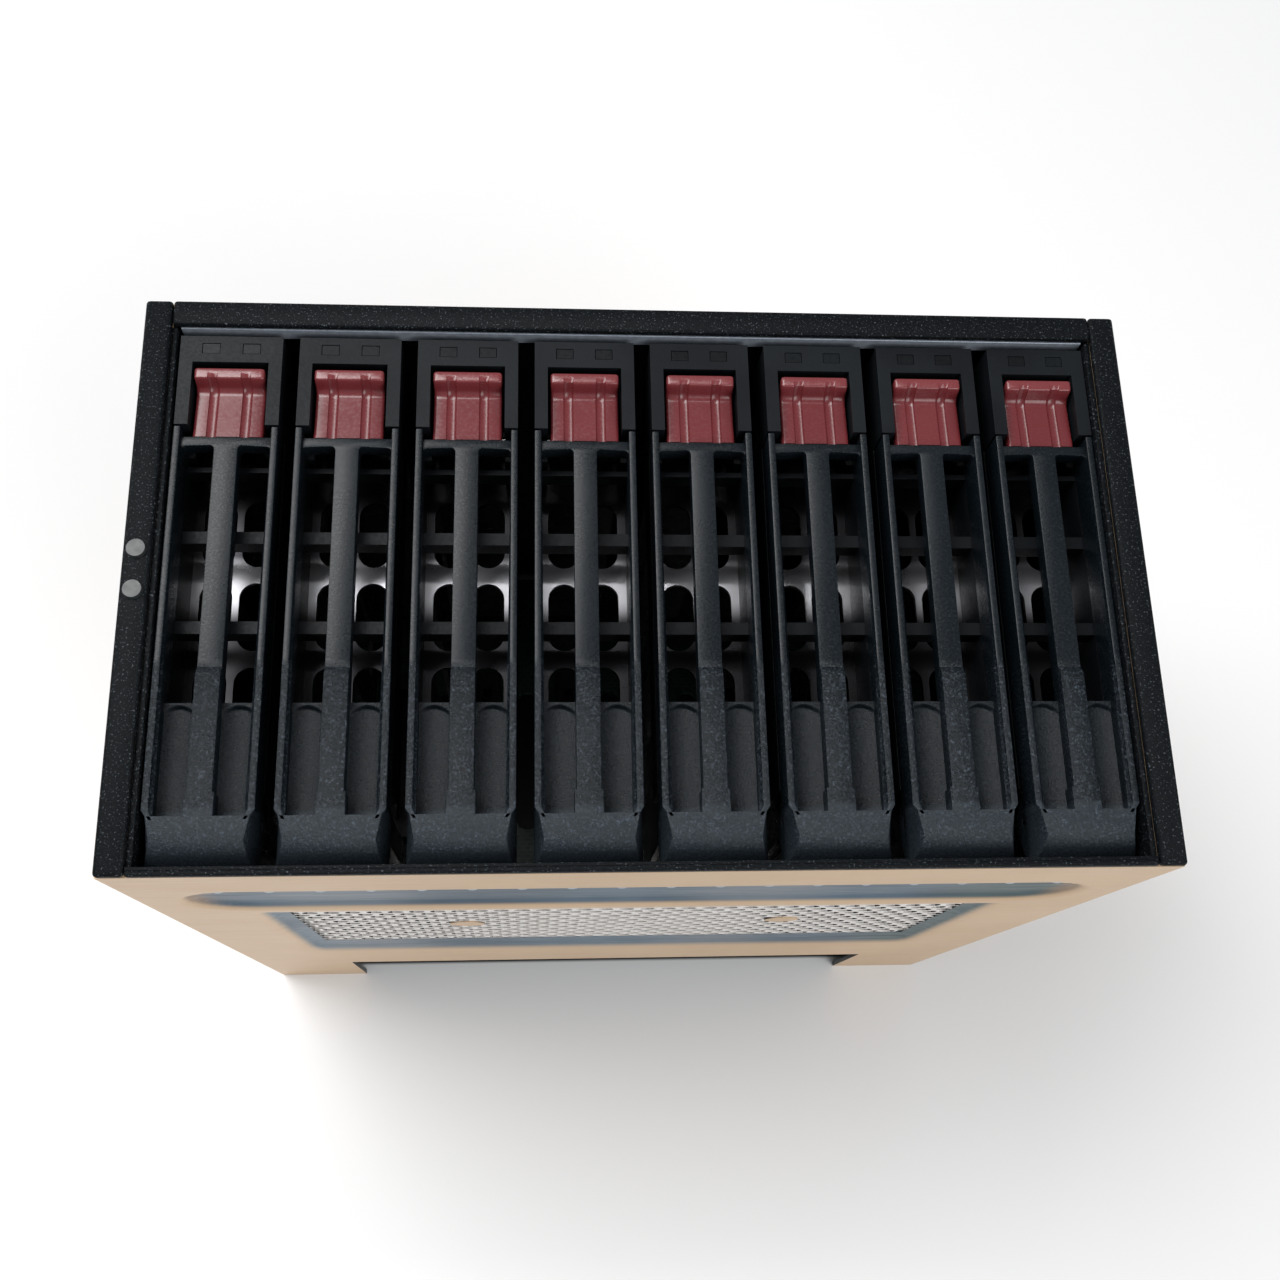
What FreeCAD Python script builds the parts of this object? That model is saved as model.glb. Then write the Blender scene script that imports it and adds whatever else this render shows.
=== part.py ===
import FreeCAD, Part
import os
import math
import Sketcher
from FreeCAD import Rotation, Vector

# Hot swap drive cage for eight small drives. It stands on its open rear end:
# +Z points out of the bays, +X runs along the row of bays and +Y is the latch end.
# The origin is the middle of the rear end, on the surface that the cage stands on.

BAYS = 8

DRIVING_SIZES = [
    # sheet metal cage
    ("cage_depth", 180.0), ("side_margin", 4.58), ("steel_gauge", 1.2),
    ("plate_flange", 4.5), ("flange_setback", 26.0), ("recess_depth", 1.1),
    # black front frame
    ("frame_gauge", 1.6), ("band_side", 4.7), ("band_top", 4.7), ("band_bottom", 1.6),
    ("frame_corner", 1.5), ("lip_gauge", 1.0), ("lip_depth", 6.0),
    ("rivet_spacing", 7.2), ("rivet_head_radius", 1.7), ("rivet_head_height", 0.765),
    ("rivet_radius", 1.0),
    # bottom plate: stadium recess, vent field and cable notch
    ("channel_front", 23.0), ("channel_back", 41.0), ("channel_inset", 7.5),
    ("field_front", 47.0), ("field_back", 122.0), ("field_inset", 17.5),
    ("field_rim", 4.5), ("field_corner", 6.0), ("vent_hole", 6.4), ("vent_hole_pitch", 9.0),
    ("notch_inset", 22.5), ("notch_depth", 34.0),
    # bays and carriers
    ("carrier_width", 17.8), ("bay_gap", 2.93), ("gap_above", 1.2), ("gap_below", 0.7),
    ("face_recess", 2.0), ("front_depth", 17.0),
    ("drive_width", 69.85), ("drive_length", 100.2), ("drive_play", 0.975),
    ("tray_gauge", 1.0), ("tray_side_gap", 1.0), ("runner_lip", 4.1), ("tray_tail", 3.5),
    ("vent_radius", 2.9), ("vent_straight", 7.0), ("vent_pitch", 15.85), ("vent_column", 3.5),
    ("web_slot_width", 12.0), ("web_slot_pitch", 22.0), ("web_slot_end", 12.0),
    # carrier front
    ("head_reach", 19.1), ("head_gap", 0.4), ("head_bridge", 5.1), ("latch_window", 13.1),
    ("lamp_width", 3.1), ("lamp_height", 2.0), ("lamp_spacing", 7.0), ("lamp_drop", 2.4),
    ("cheek_gauge", 1.0), ("cheek_drop", 7.3), ("grille_bar", 2.3), ("grille_bar_depth", 4.0),
    ("upper_bar_rise", 57.85), ("lower_bar_rise", 41.35), ("top_bar_drop", 3.4),
    ("foot_offset", 12.4), ("ear_gauge", 1.6), ("ear_inset", 1.5), ("ear_radius", 2.3),
    # lever
    ("lever_length", 74.1), ("lever_radius", 6.8), ("lever_flange", 7.0), ("lever_wall", 1.2),
    ("lever_skin", 4.2), ("lever_bar", 4.1), ("lever_cross", 1.6), ("lever_horn", 1.5),
    ("pad_top", 26.3), ("pad_bottom", 7.5), ("pad_drop", 2.8), ("flute_depth", 0.8),
    ("flute_rim", 0.2), ("step_height", 31.9), ("bar_drop", 1.0), ("taper_start", 9.7),
    ("taper_side", 1.8), ("tongue_width", 8.0), ("tongue_length", 1.2), ("tongue_gauge", 1.2),
    # latch, pins and light pipes
    ("latch_side_gap", 0.5), ("latch_end_gap", 0.4), ("latch_top_gap", 1.4),
    ("latch_arm", 1.45), ("latch_pivot_back", 12.5), ("latch_pivot_rise", 4.9),
    ("latch_boss", 2.0), ("latch_drop", 1.0), ("latch_hollow", 0.8), ("latch_skin", 0.9),
    ("latch_lip", 1.8), ("latch_lip_rise", 0.7), ("latch_lip_fall", 1.4), ("latch_arm_foot", 1.6),
    ("thumb_groove", 1.1), ("thumb_groove_spacing", 5.2), ("thumb_groove_depth", 0.4),
    ("pin_radius", 0.8), ("pin_play", 0.05), ("pin_end_gap", 0.1),
    ("spring_radius", 1.5), ("spring_length", 5.0), ("lamp_play", 0.1),
    # backplane and guides
    ("board_gauge", 2.4), ("board_edge_gap", 1.0), ("board_behind_tray", 8.5),
    ("tab_length", 8.0), ("tab_width", 12.0), ("tab_spacing", 50.0),
    ("screw_radius", 1.5), ("screw_head_radius", 2.8), ("screw_head_height", 1.8),
    ("socket_length", 42.0), ("socket_width", 5.8), ("socket_height", 8.0),
    ("socket_slot_length", 33.4), ("socket_slot_width", 2.2), ("socket_slot_depth", 6.5),
    ("guide_width", 4.0), ("guide_foot", 8.0), ("guide_foot_gauge", 1.5), ("guide_play", 0.8),
    ("guide_front_gap", 3.0),
    ("connector_spacing", 34.0), ("connector_wall", 1.2),
    ("data_length", 20.0), ("data_width", 8.4), ("data_height", 9.5),
    ("power_length", 25.0), ("power_width", 9.8), ("power_height", 12.5),
    # side mounting holes
    ("mount_radius", 1.75), ("mount_spacing_y", 60.0), ("mount_spacing_z", 110.0),
    ("mount_middle", 92.0),
]


class Size:
    """A length that knows its number and its spreadsheet expression."""

    def __init__(self, value, text):
        self.value = value
        self.text = text

    def __add__(self, other):
        other = size(other)
        return Size(self.value + other.value, f"({self.text} + {other.text})")

    def __radd__(self, other):
        return size(other) + self

    def __sub__(self, other):
        other = size(other)
        return Size(self.value - other.value, f"({self.text} - {other.text})")

    def __rsub__(self, other):
        return size(other) - self

    def __mul__(self, factor):
        factor = size(factor)
        return Size(self.value * factor.value, f"({self.text} * {factor.text})")

    def __rmul__(self, factor):
        return self * factor

    def __truediv__(self, divisor):
        divisor = size(divisor)
        return Size(self.value / divisor.value, f"({self.text} / {divisor.text})")

    def __neg__(self):
        return Size(-self.value, f"(0 - {self.text})")


def size(number):
    """Wraps a plain number, and passes a Size through."""
    if isinstance(number, Size):
        return number
    return Size(float(number), f"({float(number)})")


doc = FreeCAD.newDocument("drive_cage")
sheet = doc.addObject("Spreadsheet::Sheet", "Sizes")
S = {}
for row, (alias, value) in enumerate(DRIVING_SIZES, start=1):
    sheet.set(f"A{row}", alias)
    sheet.set(f"B{row}", str(value))
    sheet.setAlias(f"B{row}", alias)
    S[alias] = Size(value, f"Sizes.{alias}")
doc.recompute()


# ---------------------------------------------------------------- sketch helpers

def bind(target, prop, length):
    """Ties one property of an object to its spreadsheet expression."""
    length = size(length)
    target.setExpression(prop, length.text)


def pin_point(sketch, geometry, point, u, v):
    """Fixes one point of a sketch by its two coordinates."""
    for kind, length in (("DistanceX", size(u)), ("DistanceY", size(v))):
        index = sketch.addConstraint(Sketcher.Constraint(kind, geometry, point, length.value))
        bind(sketch, f"Constraints[{index}]", length)


def arc_edge(start, end, centre, turn):
    """An arc about a centre, and the numbers of its start and end points in the sketch."""
    radius = math.dist(start, centre)
    angles = [math.atan2(p[1] - centre[1], p[0] - centre[0]) for p in (start, end)]
    first, last = angles if turn > 0 else angles[::-1]
    if last <= first:
        last += 2 * math.pi
    circle = Part.Circle(Vector(*centre, 0), Vector(0, 0, 1), radius)
    arc = Part.ArcOfCircle(circle, first, last)
    return (arc, 1, 2) if turn > 0 else (arc, 2, 1)


def draw_outline(sketch, corners):
    """Draws a closed outline. A corner is (u, v), or (u, v, centre u, centre v, turn) before an arc."""
    corners = [tuple(size(c) for c in corner[:4]) + tuple(corner[4:]) for corner in corners]
    spots = [(corner[0].value, corner[1].value) for corner in corners]
    edges = []
    for number, corner in enumerate(corners):
        start, end = spots[number], spots[(number + 1) % len(spots)]
        if len(corner) > 2:
            centre = (corner[2].value, corner[3].value)
            shape, first, last = arc_edge(start, end, centre, corner[4])
        else:
            shape, first, last = Part.LineSegment(Vector(*start, 0), Vector(*end, 0)), 1, 2
        edges.append((sketch.addGeometry(shape), first, last))
    for number, (edge, first, last) in enumerate(edges):
        following, next_first, _ = edges[(number + 1) % len(edges)]
        sketch.addConstraint(Sketcher.Constraint("Coincident", edge, last, following, next_first))
        corner = corners[number]
        pin_point(sketch, edge, first, corner[0], corner[1])
        if len(corner) > 2:
            start, end = spots[number], spots[(number + 1) % len(spots)]
            level = abs(end[0] - start[0]) > abs(end[1] - start[1])
            kind, length = ("DistanceY", corner[3]) if level else ("DistanceX", corner[2])
            index = sketch.addConstraint(Sketcher.Constraint(kind, edge, 3, length.value))
            bind(sketch, f"Constraints[{index}]", length)


def draw_circle(sketch, u, v, radius):
    radius = size(radius)
    circle = Part.Circle(Vector(size(u).value, size(v).value, 0), Vector(0, 0, 1), radius.value)
    edge = sketch.addGeometry(circle)
    pin_point(sketch, edge, 3, u, v)
    index = sketch.addConstraint(Sketcher.Constraint("Radius", edge, radius.value))
    bind(sketch, f"Constraints[{index}]", radius)


def rectangle(u_low, u_high, v_low, v_high):
    return [(u_low, v_low), (u_high, v_low), (u_high, v_high), (u_low, v_high)]


def upright_slot(u, v_low, v_high, radius):
    """A slot along v: v_low and v_high are the centres of its round ends."""
    return [(u - radius, v_low, u, v_low, 1), (u + radius, v_low),
            (u + radius, v_high, u, v_high, 1), (u - radius, v_high)]


def level_slot(u_low, u_high, v, radius):
    """A slot along u: u_low and u_high are the centres of its round ends."""
    return [(u_low, v - radius), (u_high, v - radius, u_high, v, 1),
            (u_high, v + radius), (u_low, v + radius, u_low, v, 1)]


def rounded_rectangle(u_low, u_high, v_low, v_high, radius):
    return [(u_low + radius, v_low),
            (u_high - radius, v_low, u_high - radius, v_low + radius, 1),
            (u_high, v_low + radius),
            (u_high, v_high - radius, u_high - radius, v_high - radius, 1),
            (u_high - radius, v_high),
            (u_low + radius, v_high, u_low + radius, v_high - radius, 1),
            (u_low, v_high - radius),
            (u_low, v_low + radius, u_low + radius, v_low + radius, 1)]


def new_body(label):
    body = doc.addObject("PartDesign::Body", label)
    body.Label = label
    return body


def prism(body, name, plane, low, high, outlines, circles=(), cut=False):
    """Pads or pockets outlines drawn on a plane of the body, from low to high along its normal.

    On YZ an outline is (y, z), on XZ (x, z) and on XY (x, y).
    """
    low, high = size(low), size(high)
    middle = (low + high) / 2
    sketch = body.newObject("Sketcher::SketchObject", f"{name}_sketch")
    origin = {feature.Role: feature for feature in body.Origin.OriginFeatures}
    sketch.AttachmentSupport = [(origin[f"{plane}_Plane"], "")]
    sketch.MapMode = "FlatFace"
    bind(sketch, "AttachmentOffset.Base.z", -middle if plane == "XZ" else middle)
    for outline in outlines:
        draw_outline(sketch, outline)
    for circle in circles:
        draw_circle(sketch, *circle)
    feature = body.newObject("PartDesign::Pocket" if cut else "PartDesign::Pad", name)
    feature.Profile = sketch
    feature.Midplane = True
    bind(feature, "Length", high - low)
    return feature


def cylinder(name, axis, centre, radius, length):
    """A round bar whose middle is at centre, along X or Z."""
    bar = doc.addObject("Part::Cylinder", name)
    bind(bar, "Radius", radius)
    bind(bar, "Height", length)
    start = [size(c) for c in centre]
    if axis == "X":
        bar.Placement.Rotation = Rotation(Vector(0, 1, 0), 90)
        start[0] = start[0] - size(length) / 2
    else:
        start[2] = start[2] - size(length) / 2
    for letter, place in zip("xyz", start):
        bind(bar, f"Placement.Base.{letter}", place)
    return bar


def block(name, x, y, z):
    """A box between pairs of coordinates."""
    box = doc.addObject("Part::Box", name)
    for letter, side, (low, high) in zip("xyz", ("Length", "Width", "Height"), (x, y, z)):
        bind(box, side, size(high) - size(low))
        bind(box, f"Placement.Base.{letter}", size(low))
    return box


def cut(name, base, tool):
    result = doc.addObject("Part::Cut", name)
    result.Base = base
    result.Tool = tool
    return result


def group(label, members):
    """Loose solids of one kind that share a node."""
    compound = doc.addObject("Part::Compound", label)
    compound.Label = label
    compound.Links = members
    return compound


def bay_copy(label, source, bay):
    """Puts a copy of a carrier piece, which is drawn at the middle, into its bay."""
    link = doc.addObject("App::Link", label)
    link.Label = label
    link.LinkedObject = source
    bind(link, "Placement.Base.x", bay_middle(bay))
    return link


# ---------------------------------------------------------------- shared positions

bay_pitch = S["carrier_width"] + S["bay_gap"]
carrier_height = S["lever_length"] + S["head_reach"]
half_width = bay_pitch * BAYS / 2 + S["side_margin"]
half_height = (S["band_bottom"] + S["gap_below"] + carrier_height + S["gap_above"] + S["band_top"]) / 2
depth = S["cage_depth"]
gauge = S["steel_gauge"]
frame_back = depth - S["frame_gauge"]
wall_inside = half_width - gauge
plate_inside = half_height - gauge

face = depth - S["face_recess"]
carrier_low = S["band_bottom"] + S["gap_below"] - half_height
carrier_high = carrier_low + carrier_height
carrier_middle = (carrier_low + carrier_high) / 2
carrier_half = S["carrier_width"] / 2

tray_front = face - S["front_depth"]
tray_half = carrier_half - S["tray_side_gap"]
tray_gauge = S["tray_gauge"]
drive_half = S["drive_width"] / 2 + S["drive_play"]
runner_out = drive_half + tray_gauge
runner_end = runner_out + S["runner_lip"]
tray_back = tray_front - tray_gauge - S["drive_length"] - S["tray_tail"]

pivot_y = carrier_low + S["lever_radius"]
pivot_z = face - S["lever_radius"]
pin_hole = S["pin_radius"] + S["pin_play"]
lever_top = carrier_low + S["lever_length"]
head_low = lever_top + S["lever_horn"] + S["head_gap"]
window_high = carrier_high - S["head_bridge"]
window_half = S["latch_window"] / 2
window_low = lever_top - S["tongue_length"]
latch_y = lever_top + S["latch_end_gap"] + S["latch_pivot_rise"]
latch_z = face - S["latch_pivot_back"]

board_front = tray_back - S["board_behind_tray"]
board_back = board_front - S["board_gauge"]



def bay_middle(bay):
    """Where the middle of a bay is along the row, counted from 0."""
    return bay_pitch * (bay - (BAYS - 1) / 2)


# ---------------------------------------------------------------- sheet metal cage

def side_plate(label, side):
    """A side wall with flanges turned in along its edges, tabs for the board and mounting holes."""
    def across(near, far):
        low, high = (near, far) if side > 0 else (-far, -near)
        return low, high

    body = new_body(label)
    prism(body, f"{label}_wall", "YZ", *across(wall_inside, half_width),
          [rectangle(gauge - half_height, plate_inside, 0, frame_back)])
    for edge, name in ((1, "upper"), (-1, "lower")):
        flange_y = (plate_inside - gauge, plate_inside)
        if edge < 0:
            flange_y = (-flange_y[1], -flange_y[0])
        prism(body, f"{label}_{name}_flange", "YZ", *across(wall_inside - S["plate_flange"], wall_inside),
              [rectangle(*flange_y, gauge, frame_back - S["flange_setback"])])
    prism(body, f"{label}_front_flange", "YZ", *across(half_width - S["band_side"], wall_inside),
          [rectangle(gauge - half_height, plate_inside, frame_back - gauge, frame_back)])
    tabs = []
    for place in (-1, 1):
        middle = S["tab_spacing"] / 2 * place
        tabs.append(rectangle(middle - S["tab_width"] / 2, middle + S["tab_width"] / 2,
                              board_back - gauge, board_back))
    prism(body, f"{label}_tabs", "YZ", *across(wall_inside - S["tab_length"], wall_inside), tabs)
    tab_middle = wall_inside - S["tab_length"] / 2
    holes = [(tab_middle * side, S["tab_spacing"] / 2 * place, S["screw_radius"] + S["pin_play"])
             for place in (-1, 1)]
    prism(body, f"{label}_tab_holes", "XY", board_back - gauge * 2, board_back + gauge, [],
          holes, cut=True)
    mounts = [(S["mount_spacing_y"] / 2 * row, S["mount_middle"] + S["mount_spacing_z"] / 2 * column,
               S["mount_radius"]) for row in (-1, 1) for column in (-1, 1)]
    prism(body, f"{label}_mount_holes", "YZ", *across(wall_inside - gauge, half_width + gauge), [],
          mounts, cut=True)
    if side < 0:
        rivet_x = -(half_width - S["band_side"] / 2)
        rivets = [(rivet_x, S["rivet_spacing"] / 2 * place, S["rivet_radius"] + S["pin_play"])
                  for place in (-1, 1)]
        prism(body, f"{label}_rivet_holes", "XY", frame_back - gauge * 2, frame_back + gauge, [],
              rivets, cut=True)
    return body


def recessed(body, name, outline, inner_outline):
    """Presses an area of the bottom plate inwards: a dished step that keeps the sheet's gauge."""
    step = S["recess_depth"]
    prism(body, f"{name}_pressed", "XZ", -plate_inside, step - plate_inside, [outline])
    prism(body, f"{name}_dish", "XZ", -half_height, step - half_height, [inner_outline], cut=True)


def bottom_plate():
    """The plate at the lever end: a stadium recess, a pressed field of vent holes, a cable notch."""
    body = new_body("bottom_sheet_body")
    notch_half = half_width - S["notch_inset"]
    notch = S["notch_depth"]
    prism(body, "bottom_sheet", "XZ", -half_height, -plate_inside,
          [[(-half_width, 0), (-notch_half, 0), (-notch_half, notch), (notch_half, notch),
            (notch_half, 0), (half_width, 0), (half_width, frame_back), (-half_width, frame_back)]])
    channel_front = depth - S["channel_front"]
    channel_back = depth - S["channel_back"]
    round_end = (channel_front - channel_back) / 2
    reach = half_width - S["channel_inset"] - round_end
    channel_middle = (channel_front + channel_back) / 2
    recessed(body, "channel", level_slot(-reach, reach, channel_middle, round_end),
             level_slot(-reach, reach, channel_middle, round_end - gauge))
    field_half = half_width - S["field_inset"]
    front, back = depth - S["field_front"], depth - S["field_back"]
    corner = S["field_corner"]
    recessed(body, "field", rounded_rectangle(-field_half, field_half, back, front, corner),
             rounded_rectangle(gauge - field_half, field_half - gauge, back + gauge, front - gauge,
                               corner - gauge))
    return cut_vent_field(body, (front + back) / 2, field_half * 2, front - back)


def cut_vent_field(body, middle, width, length):
    """Cuts staggered rows of hexagonal holes. Each row is one tool, repeated along the field."""
    pitch = S["vent_hole_pitch"].value
    row_pitch = pitch * math.sqrt(3) / 2
    corner = S["vent_hole"].value / math.sqrt(3)
    rim = S["field_rim"].value + gauge.value
    columns = int((width.value - rim * 2) // pitch)
    rows = int((length.value - S["field_rim"].value * 2) // row_pitch)
    start = Vector(0, -half_height.value - gauge.value, 0)
    turns = [math.radians(60 * corner_number + 30) for corner_number in range(7)]
    rim_points = [start + Vector(corner * math.cos(turn), 0, corner * math.sin(turn)) for turn in turns]
    hexagon = Part.Face(Part.makePolygon(rim_points)).extrude(Vector(0, gauge.value * 4, 0))
    prisms = []
    for row in range(rows):
        count = columns - row % 2
        for column in range(count):
            prism_copy = hexagon.copy()
            prism_copy.translate(Vector(pitch * (column - (count - 1) / 2), 0,
                                        middle.value + row_pitch * (row - (rows - 1) / 2)))
            prisms.append(prism_copy)
    tools = doc.addObject("Part::Feature", "vent_tools")
    tools.Shape = Part.makeCompound(prisms)
    body.Label = "pressed_bottom_sheet"
    plate = cut("vented_plate", body, tools)
    plate.Label = "bottom_plate"
    return plate


def top_plate():
    """The plain plate at the latch end."""
    body = new_body("top_plate")
    prism(body, "top_sheet", "XZ", plate_inside, half_height,
          [rectangle(-half_width, half_width, 0, frame_back)])
    return body


def front_frame():
    """The black frame round the mouth, with a lip turned in along the latch end."""
    body = new_body("front_frame")
    corner = S["frame_corner"]
    mouth_low = S["band_bottom"] - half_height
    mouth_high = half_height - S["band_top"]
    mouth_half = half_width - S["band_side"]
    prism(body, "frame_ring", "XY", frame_back, depth,
          [rounded_rectangle(-half_width, half_width, -half_height, half_height, corner),
           rectangle(-mouth_half, mouth_half, mouth_low, mouth_high)])
    prism(body, "frame_lip", "XY", frame_back - S["lip_depth"], frame_back,
          [rectangle(-mouth_half, mouth_half, mouth_high, mouth_high + S["lip_gauge"])])
    rivet_x = -(half_width - S["band_side"] / 2)
    rivets = [(rivet_x, S["rivet_spacing"] / 2 * place, S["rivet_radius"] + S["pin_play"])
              for place in (-1, 1)]
    prism(body, "frame_rivet_holes", "XY", frame_back - gauge, depth + gauge, [], rivets, cut=True)
    return body


def frame_rivets():
    """Two round-headed rivets through the left band and the flange behind it."""
    members = []
    grip = S["frame_gauge"] + gauge
    for number, place in enumerate((-1, 1), start=1):
        centre = (-(half_width - S["band_side"] / 2), S["rivet_spacing"] / 2 * place)
        head = doc.addObject("Part::Sphere", f"rivet_dome_{number}")
        dome = S["rivet_head_radius"]
        bind(head, "Radius", dome)
        head.Angle1 = 0
        for letter, value in zip("xyz", (*centre, depth)):
            bind(head, f"Placement.Base.{letter}", value)
        flat = block(f"rivet_cap_{number}", (centre[0] - dome, centre[0] + dome),
                     (centre[1] - dome, centre[1] + dome), (depth, depth + S["rivet_head_height"]))
        low_dome = doc.addObject("Part::Common", f"rivet_head_{number}")
        low_dome.Base = head
        low_dome.Tool = flat
        shank = cylinder(f"rivet_shank_{number}", "Z", (*centre, depth - grip / 2), S["rivet_radius"], grip)
        rivet = doc.addObject("Part::MultiFuse", f"rivet_{number}")
        rivet.Shapes = [low_dome, shank]
        members.append(rivet)
    return group("frame_rivets", members)


# ---------------------------------------------------------------- backplane and guides

def backplane():
    """The circuit board across the cage, with slots between the sockets for the air."""
    body = new_body("backplane")
    gap = S["board_edge_gap"]
    half_x, half_y = wall_inside - gap, plate_inside - gauge - gap
    prism(body, "board", "XY", board_back, board_front, [rectangle(-half_x, half_x, -half_y, half_y)])
    reach = S["socket_length"] / 2 - S["socket_width"]
    slots = [upright_slot(bay_middle(bay + 0.5), carrier_middle - reach, carrier_middle + reach,
                          S["socket_width"] / 2) for bay in range(BAYS - 1)]
    prism(body, "air_slots", "XY", board_back - gauge, board_front + gauge, slots, cut=True)
    tab_middle = wall_inside - S["tab_length"] / 2
    holes = [(tab_middle * side, S["tab_spacing"] / 2 * place, S["screw_radius"] + S["pin_play"])
             for side in (-1, 1) for place in (-1, 1)]
    prism(body, "board_holes", "XY", board_back - gauge, board_front + gauge, [], holes, cut=True)
    return body


def backplane_screws():
    """Four screws that hold the board to the tabs of the side plates."""
    members = []
    tab_middle = wall_inside - S["tab_length"] / 2
    for number, (side, place) in enumerate(((-1, -1), (-1, 1), (1, -1), (1, 1)), start=1):
        spot = (tab_middle * side, S["tab_spacing"] / 2 * place)
        head_height = S["screw_head_height"]
        head = cylinder(f"screw_head_{number}", "Z", (*spot, board_front + head_height / 2),
                        S["screw_head_radius"], head_height)
        shank_length = S["board_gauge"] + gauge * 2
        shank = cylinder(f"screw_shank_{number}", "Z", (*spot, board_front - shank_length / 2),
                         S["screw_radius"], shank_length)
        screw = doc.addObject("Part::MultiFuse", f"screw_{number}")
        screw.Shapes = [head, shank]
        members.append(screw)
    return group("backplane_screws", members)


def drive_sockets():
    """One receptacle for each bay, with the slot that a drive's edge connector enters."""
    members = []
    for bay in range(BAYS):
        x = bay_middle(bay)
        half_x, half_y = S["socket_width"] / 2, S["socket_length"] / 2
        top = board_front + S["socket_height"]
        shell = block(f"socket_shell_{bay + 1}", (x - half_x, x + half_x),
                      (carrier_middle - half_y, carrier_middle + half_y), (board_front, top))
        slot_x, slot_y = S["socket_slot_width"] / 2, S["socket_slot_length"] / 2
        slot = block(f"socket_slot_{bay + 1}", (x - slot_x, x + slot_x),
                     (carrier_middle - slot_y, carrier_middle + slot_y),
                     (top - S["socket_slot_depth"], top + 1))
        members.append(cut(f"socket_{bay + 1}", shell, slot))
    return group("drive_sockets", members)


def cable_connectors():
    """Two data receptacles and the power header on the back of the board."""
    members = []
    wall = S["connector_wall"]
    for name, kind, side in (("data_a", "data", -1), ("data_b", "data", 1), ("power", "power", 0)):
        x = S["connector_spacing"] * side
        length, width, height = (S[f"{kind}_{part}"] for part in ("length", "width", "height"))
        low = board_back - height
        shell = block(f"{name}_shell", (x - length / 2, x + length / 2),
                      (carrier_middle - width / 2, carrier_middle + width / 2), (low, board_back))
        hollow = block(f"{name}_hollow", (x - length / 2 + wall, x + length / 2 - wall),
                       (carrier_middle - width / 2 + wall, carrier_middle + width / 2 - wall),
                       (low - wall, board_back - wall))
        members.append(cut(f"{name}_receptacle", shell, hollow))
    return group("cable_connectors", members)


def guides(label, end):
    """A row of T-section ribs that run in the trays' channels."""
    members = []
    seat = plate_inside if end > 0 else plate_inside - S["recess_depth"]
    reach = carrier_middle + (runner_out + S["guide_play"]) * end
    low, high = board_front, tray_front - S["guide_front_gap"]
    half_stem, half_foot = S["guide_width"] / 2, S["guide_foot"] / 2
    for bay in range(BAYS):
        x = bay_middle(bay)
        shoulder = seat - S["guide_foot_gauge"]
        body = new_body(f"{label}_rib_{bay + 1}")
        outline = [(x - half_foot, seat * end), (x + half_foot, seat * end), (x + half_foot, shoulder * end),
                   (x + half_stem, shoulder * end), (x + half_stem, reach), (x - half_stem, reach),
                   (x - half_stem, shoulder * end), (x - half_foot, shoulder * end)]
        prism(body, f"{label}_section_{bay + 1}", "XY", low, high, [outline])
        members.append(body)
    return group(label, members)


# ---------------------------------------------------------------- carrier pieces, drawn at x = 0

def tray():
    """The drive's tray: a roll-formed section with channel runners, and a vented front wall."""
    body = new_body("tray_pattern")
    half, inner = tray_half, tray_half - tray_gauge
    mid = carrier_middle
    section = [(-half, mid - runner_end), (-inner, mid - runner_end), (-inner, mid - runner_out),
               (inner, mid - runner_out), (inner, mid - runner_end), (half, mid - runner_end),
               (half, mid - drive_half), (-inner, mid - drive_half), (-inner, mid + drive_half),
               (half, mid + drive_half), (half, mid + runner_end), (inner, mid + runner_end),
               (inner, mid + runner_out), (-inner, mid + runner_out), (-inner, mid + runner_end),
               (-half, mid + runner_end)]
    prism(body, "tray_section", "XY", tray_back, tray_front, [section])
    prism(body, "tray_front_wall", "XY", tray_front - tray_gauge, tray_front,
          [rectangle(-half, half, mid - runner_out, mid + runner_out)])
    vents = []
    straight = S["vent_straight"] / 2
    for column in (-1, 1):
        for row in (-1, 0, 1):
            middle = mid + S["vent_pitch"] * row
            vents.append(upright_slot(S["vent_column"] * column, middle - straight, middle + straight,
                                      S["vent_radius"]))
    prism(body, "tray_vents", "XY", tray_front - tray_gauge * 2, tray_front + tray_gauge, vents, cut=True)
    slots = []
    for row in (-1, 0, 1):
        middle = mid + S["web_slot_pitch"] * row
        slots.append(rectangle(middle - S["web_slot_width"] / 2, middle + S["web_slot_width"] / 2,
                               tray_back + S["web_slot_end"], tray_front - S["web_slot_end"]))
    prism(body, "tray_web_slots", "YZ", -half - tray_gauge, -inner + tray_gauge, slots, cut=True)
    return body


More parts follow.
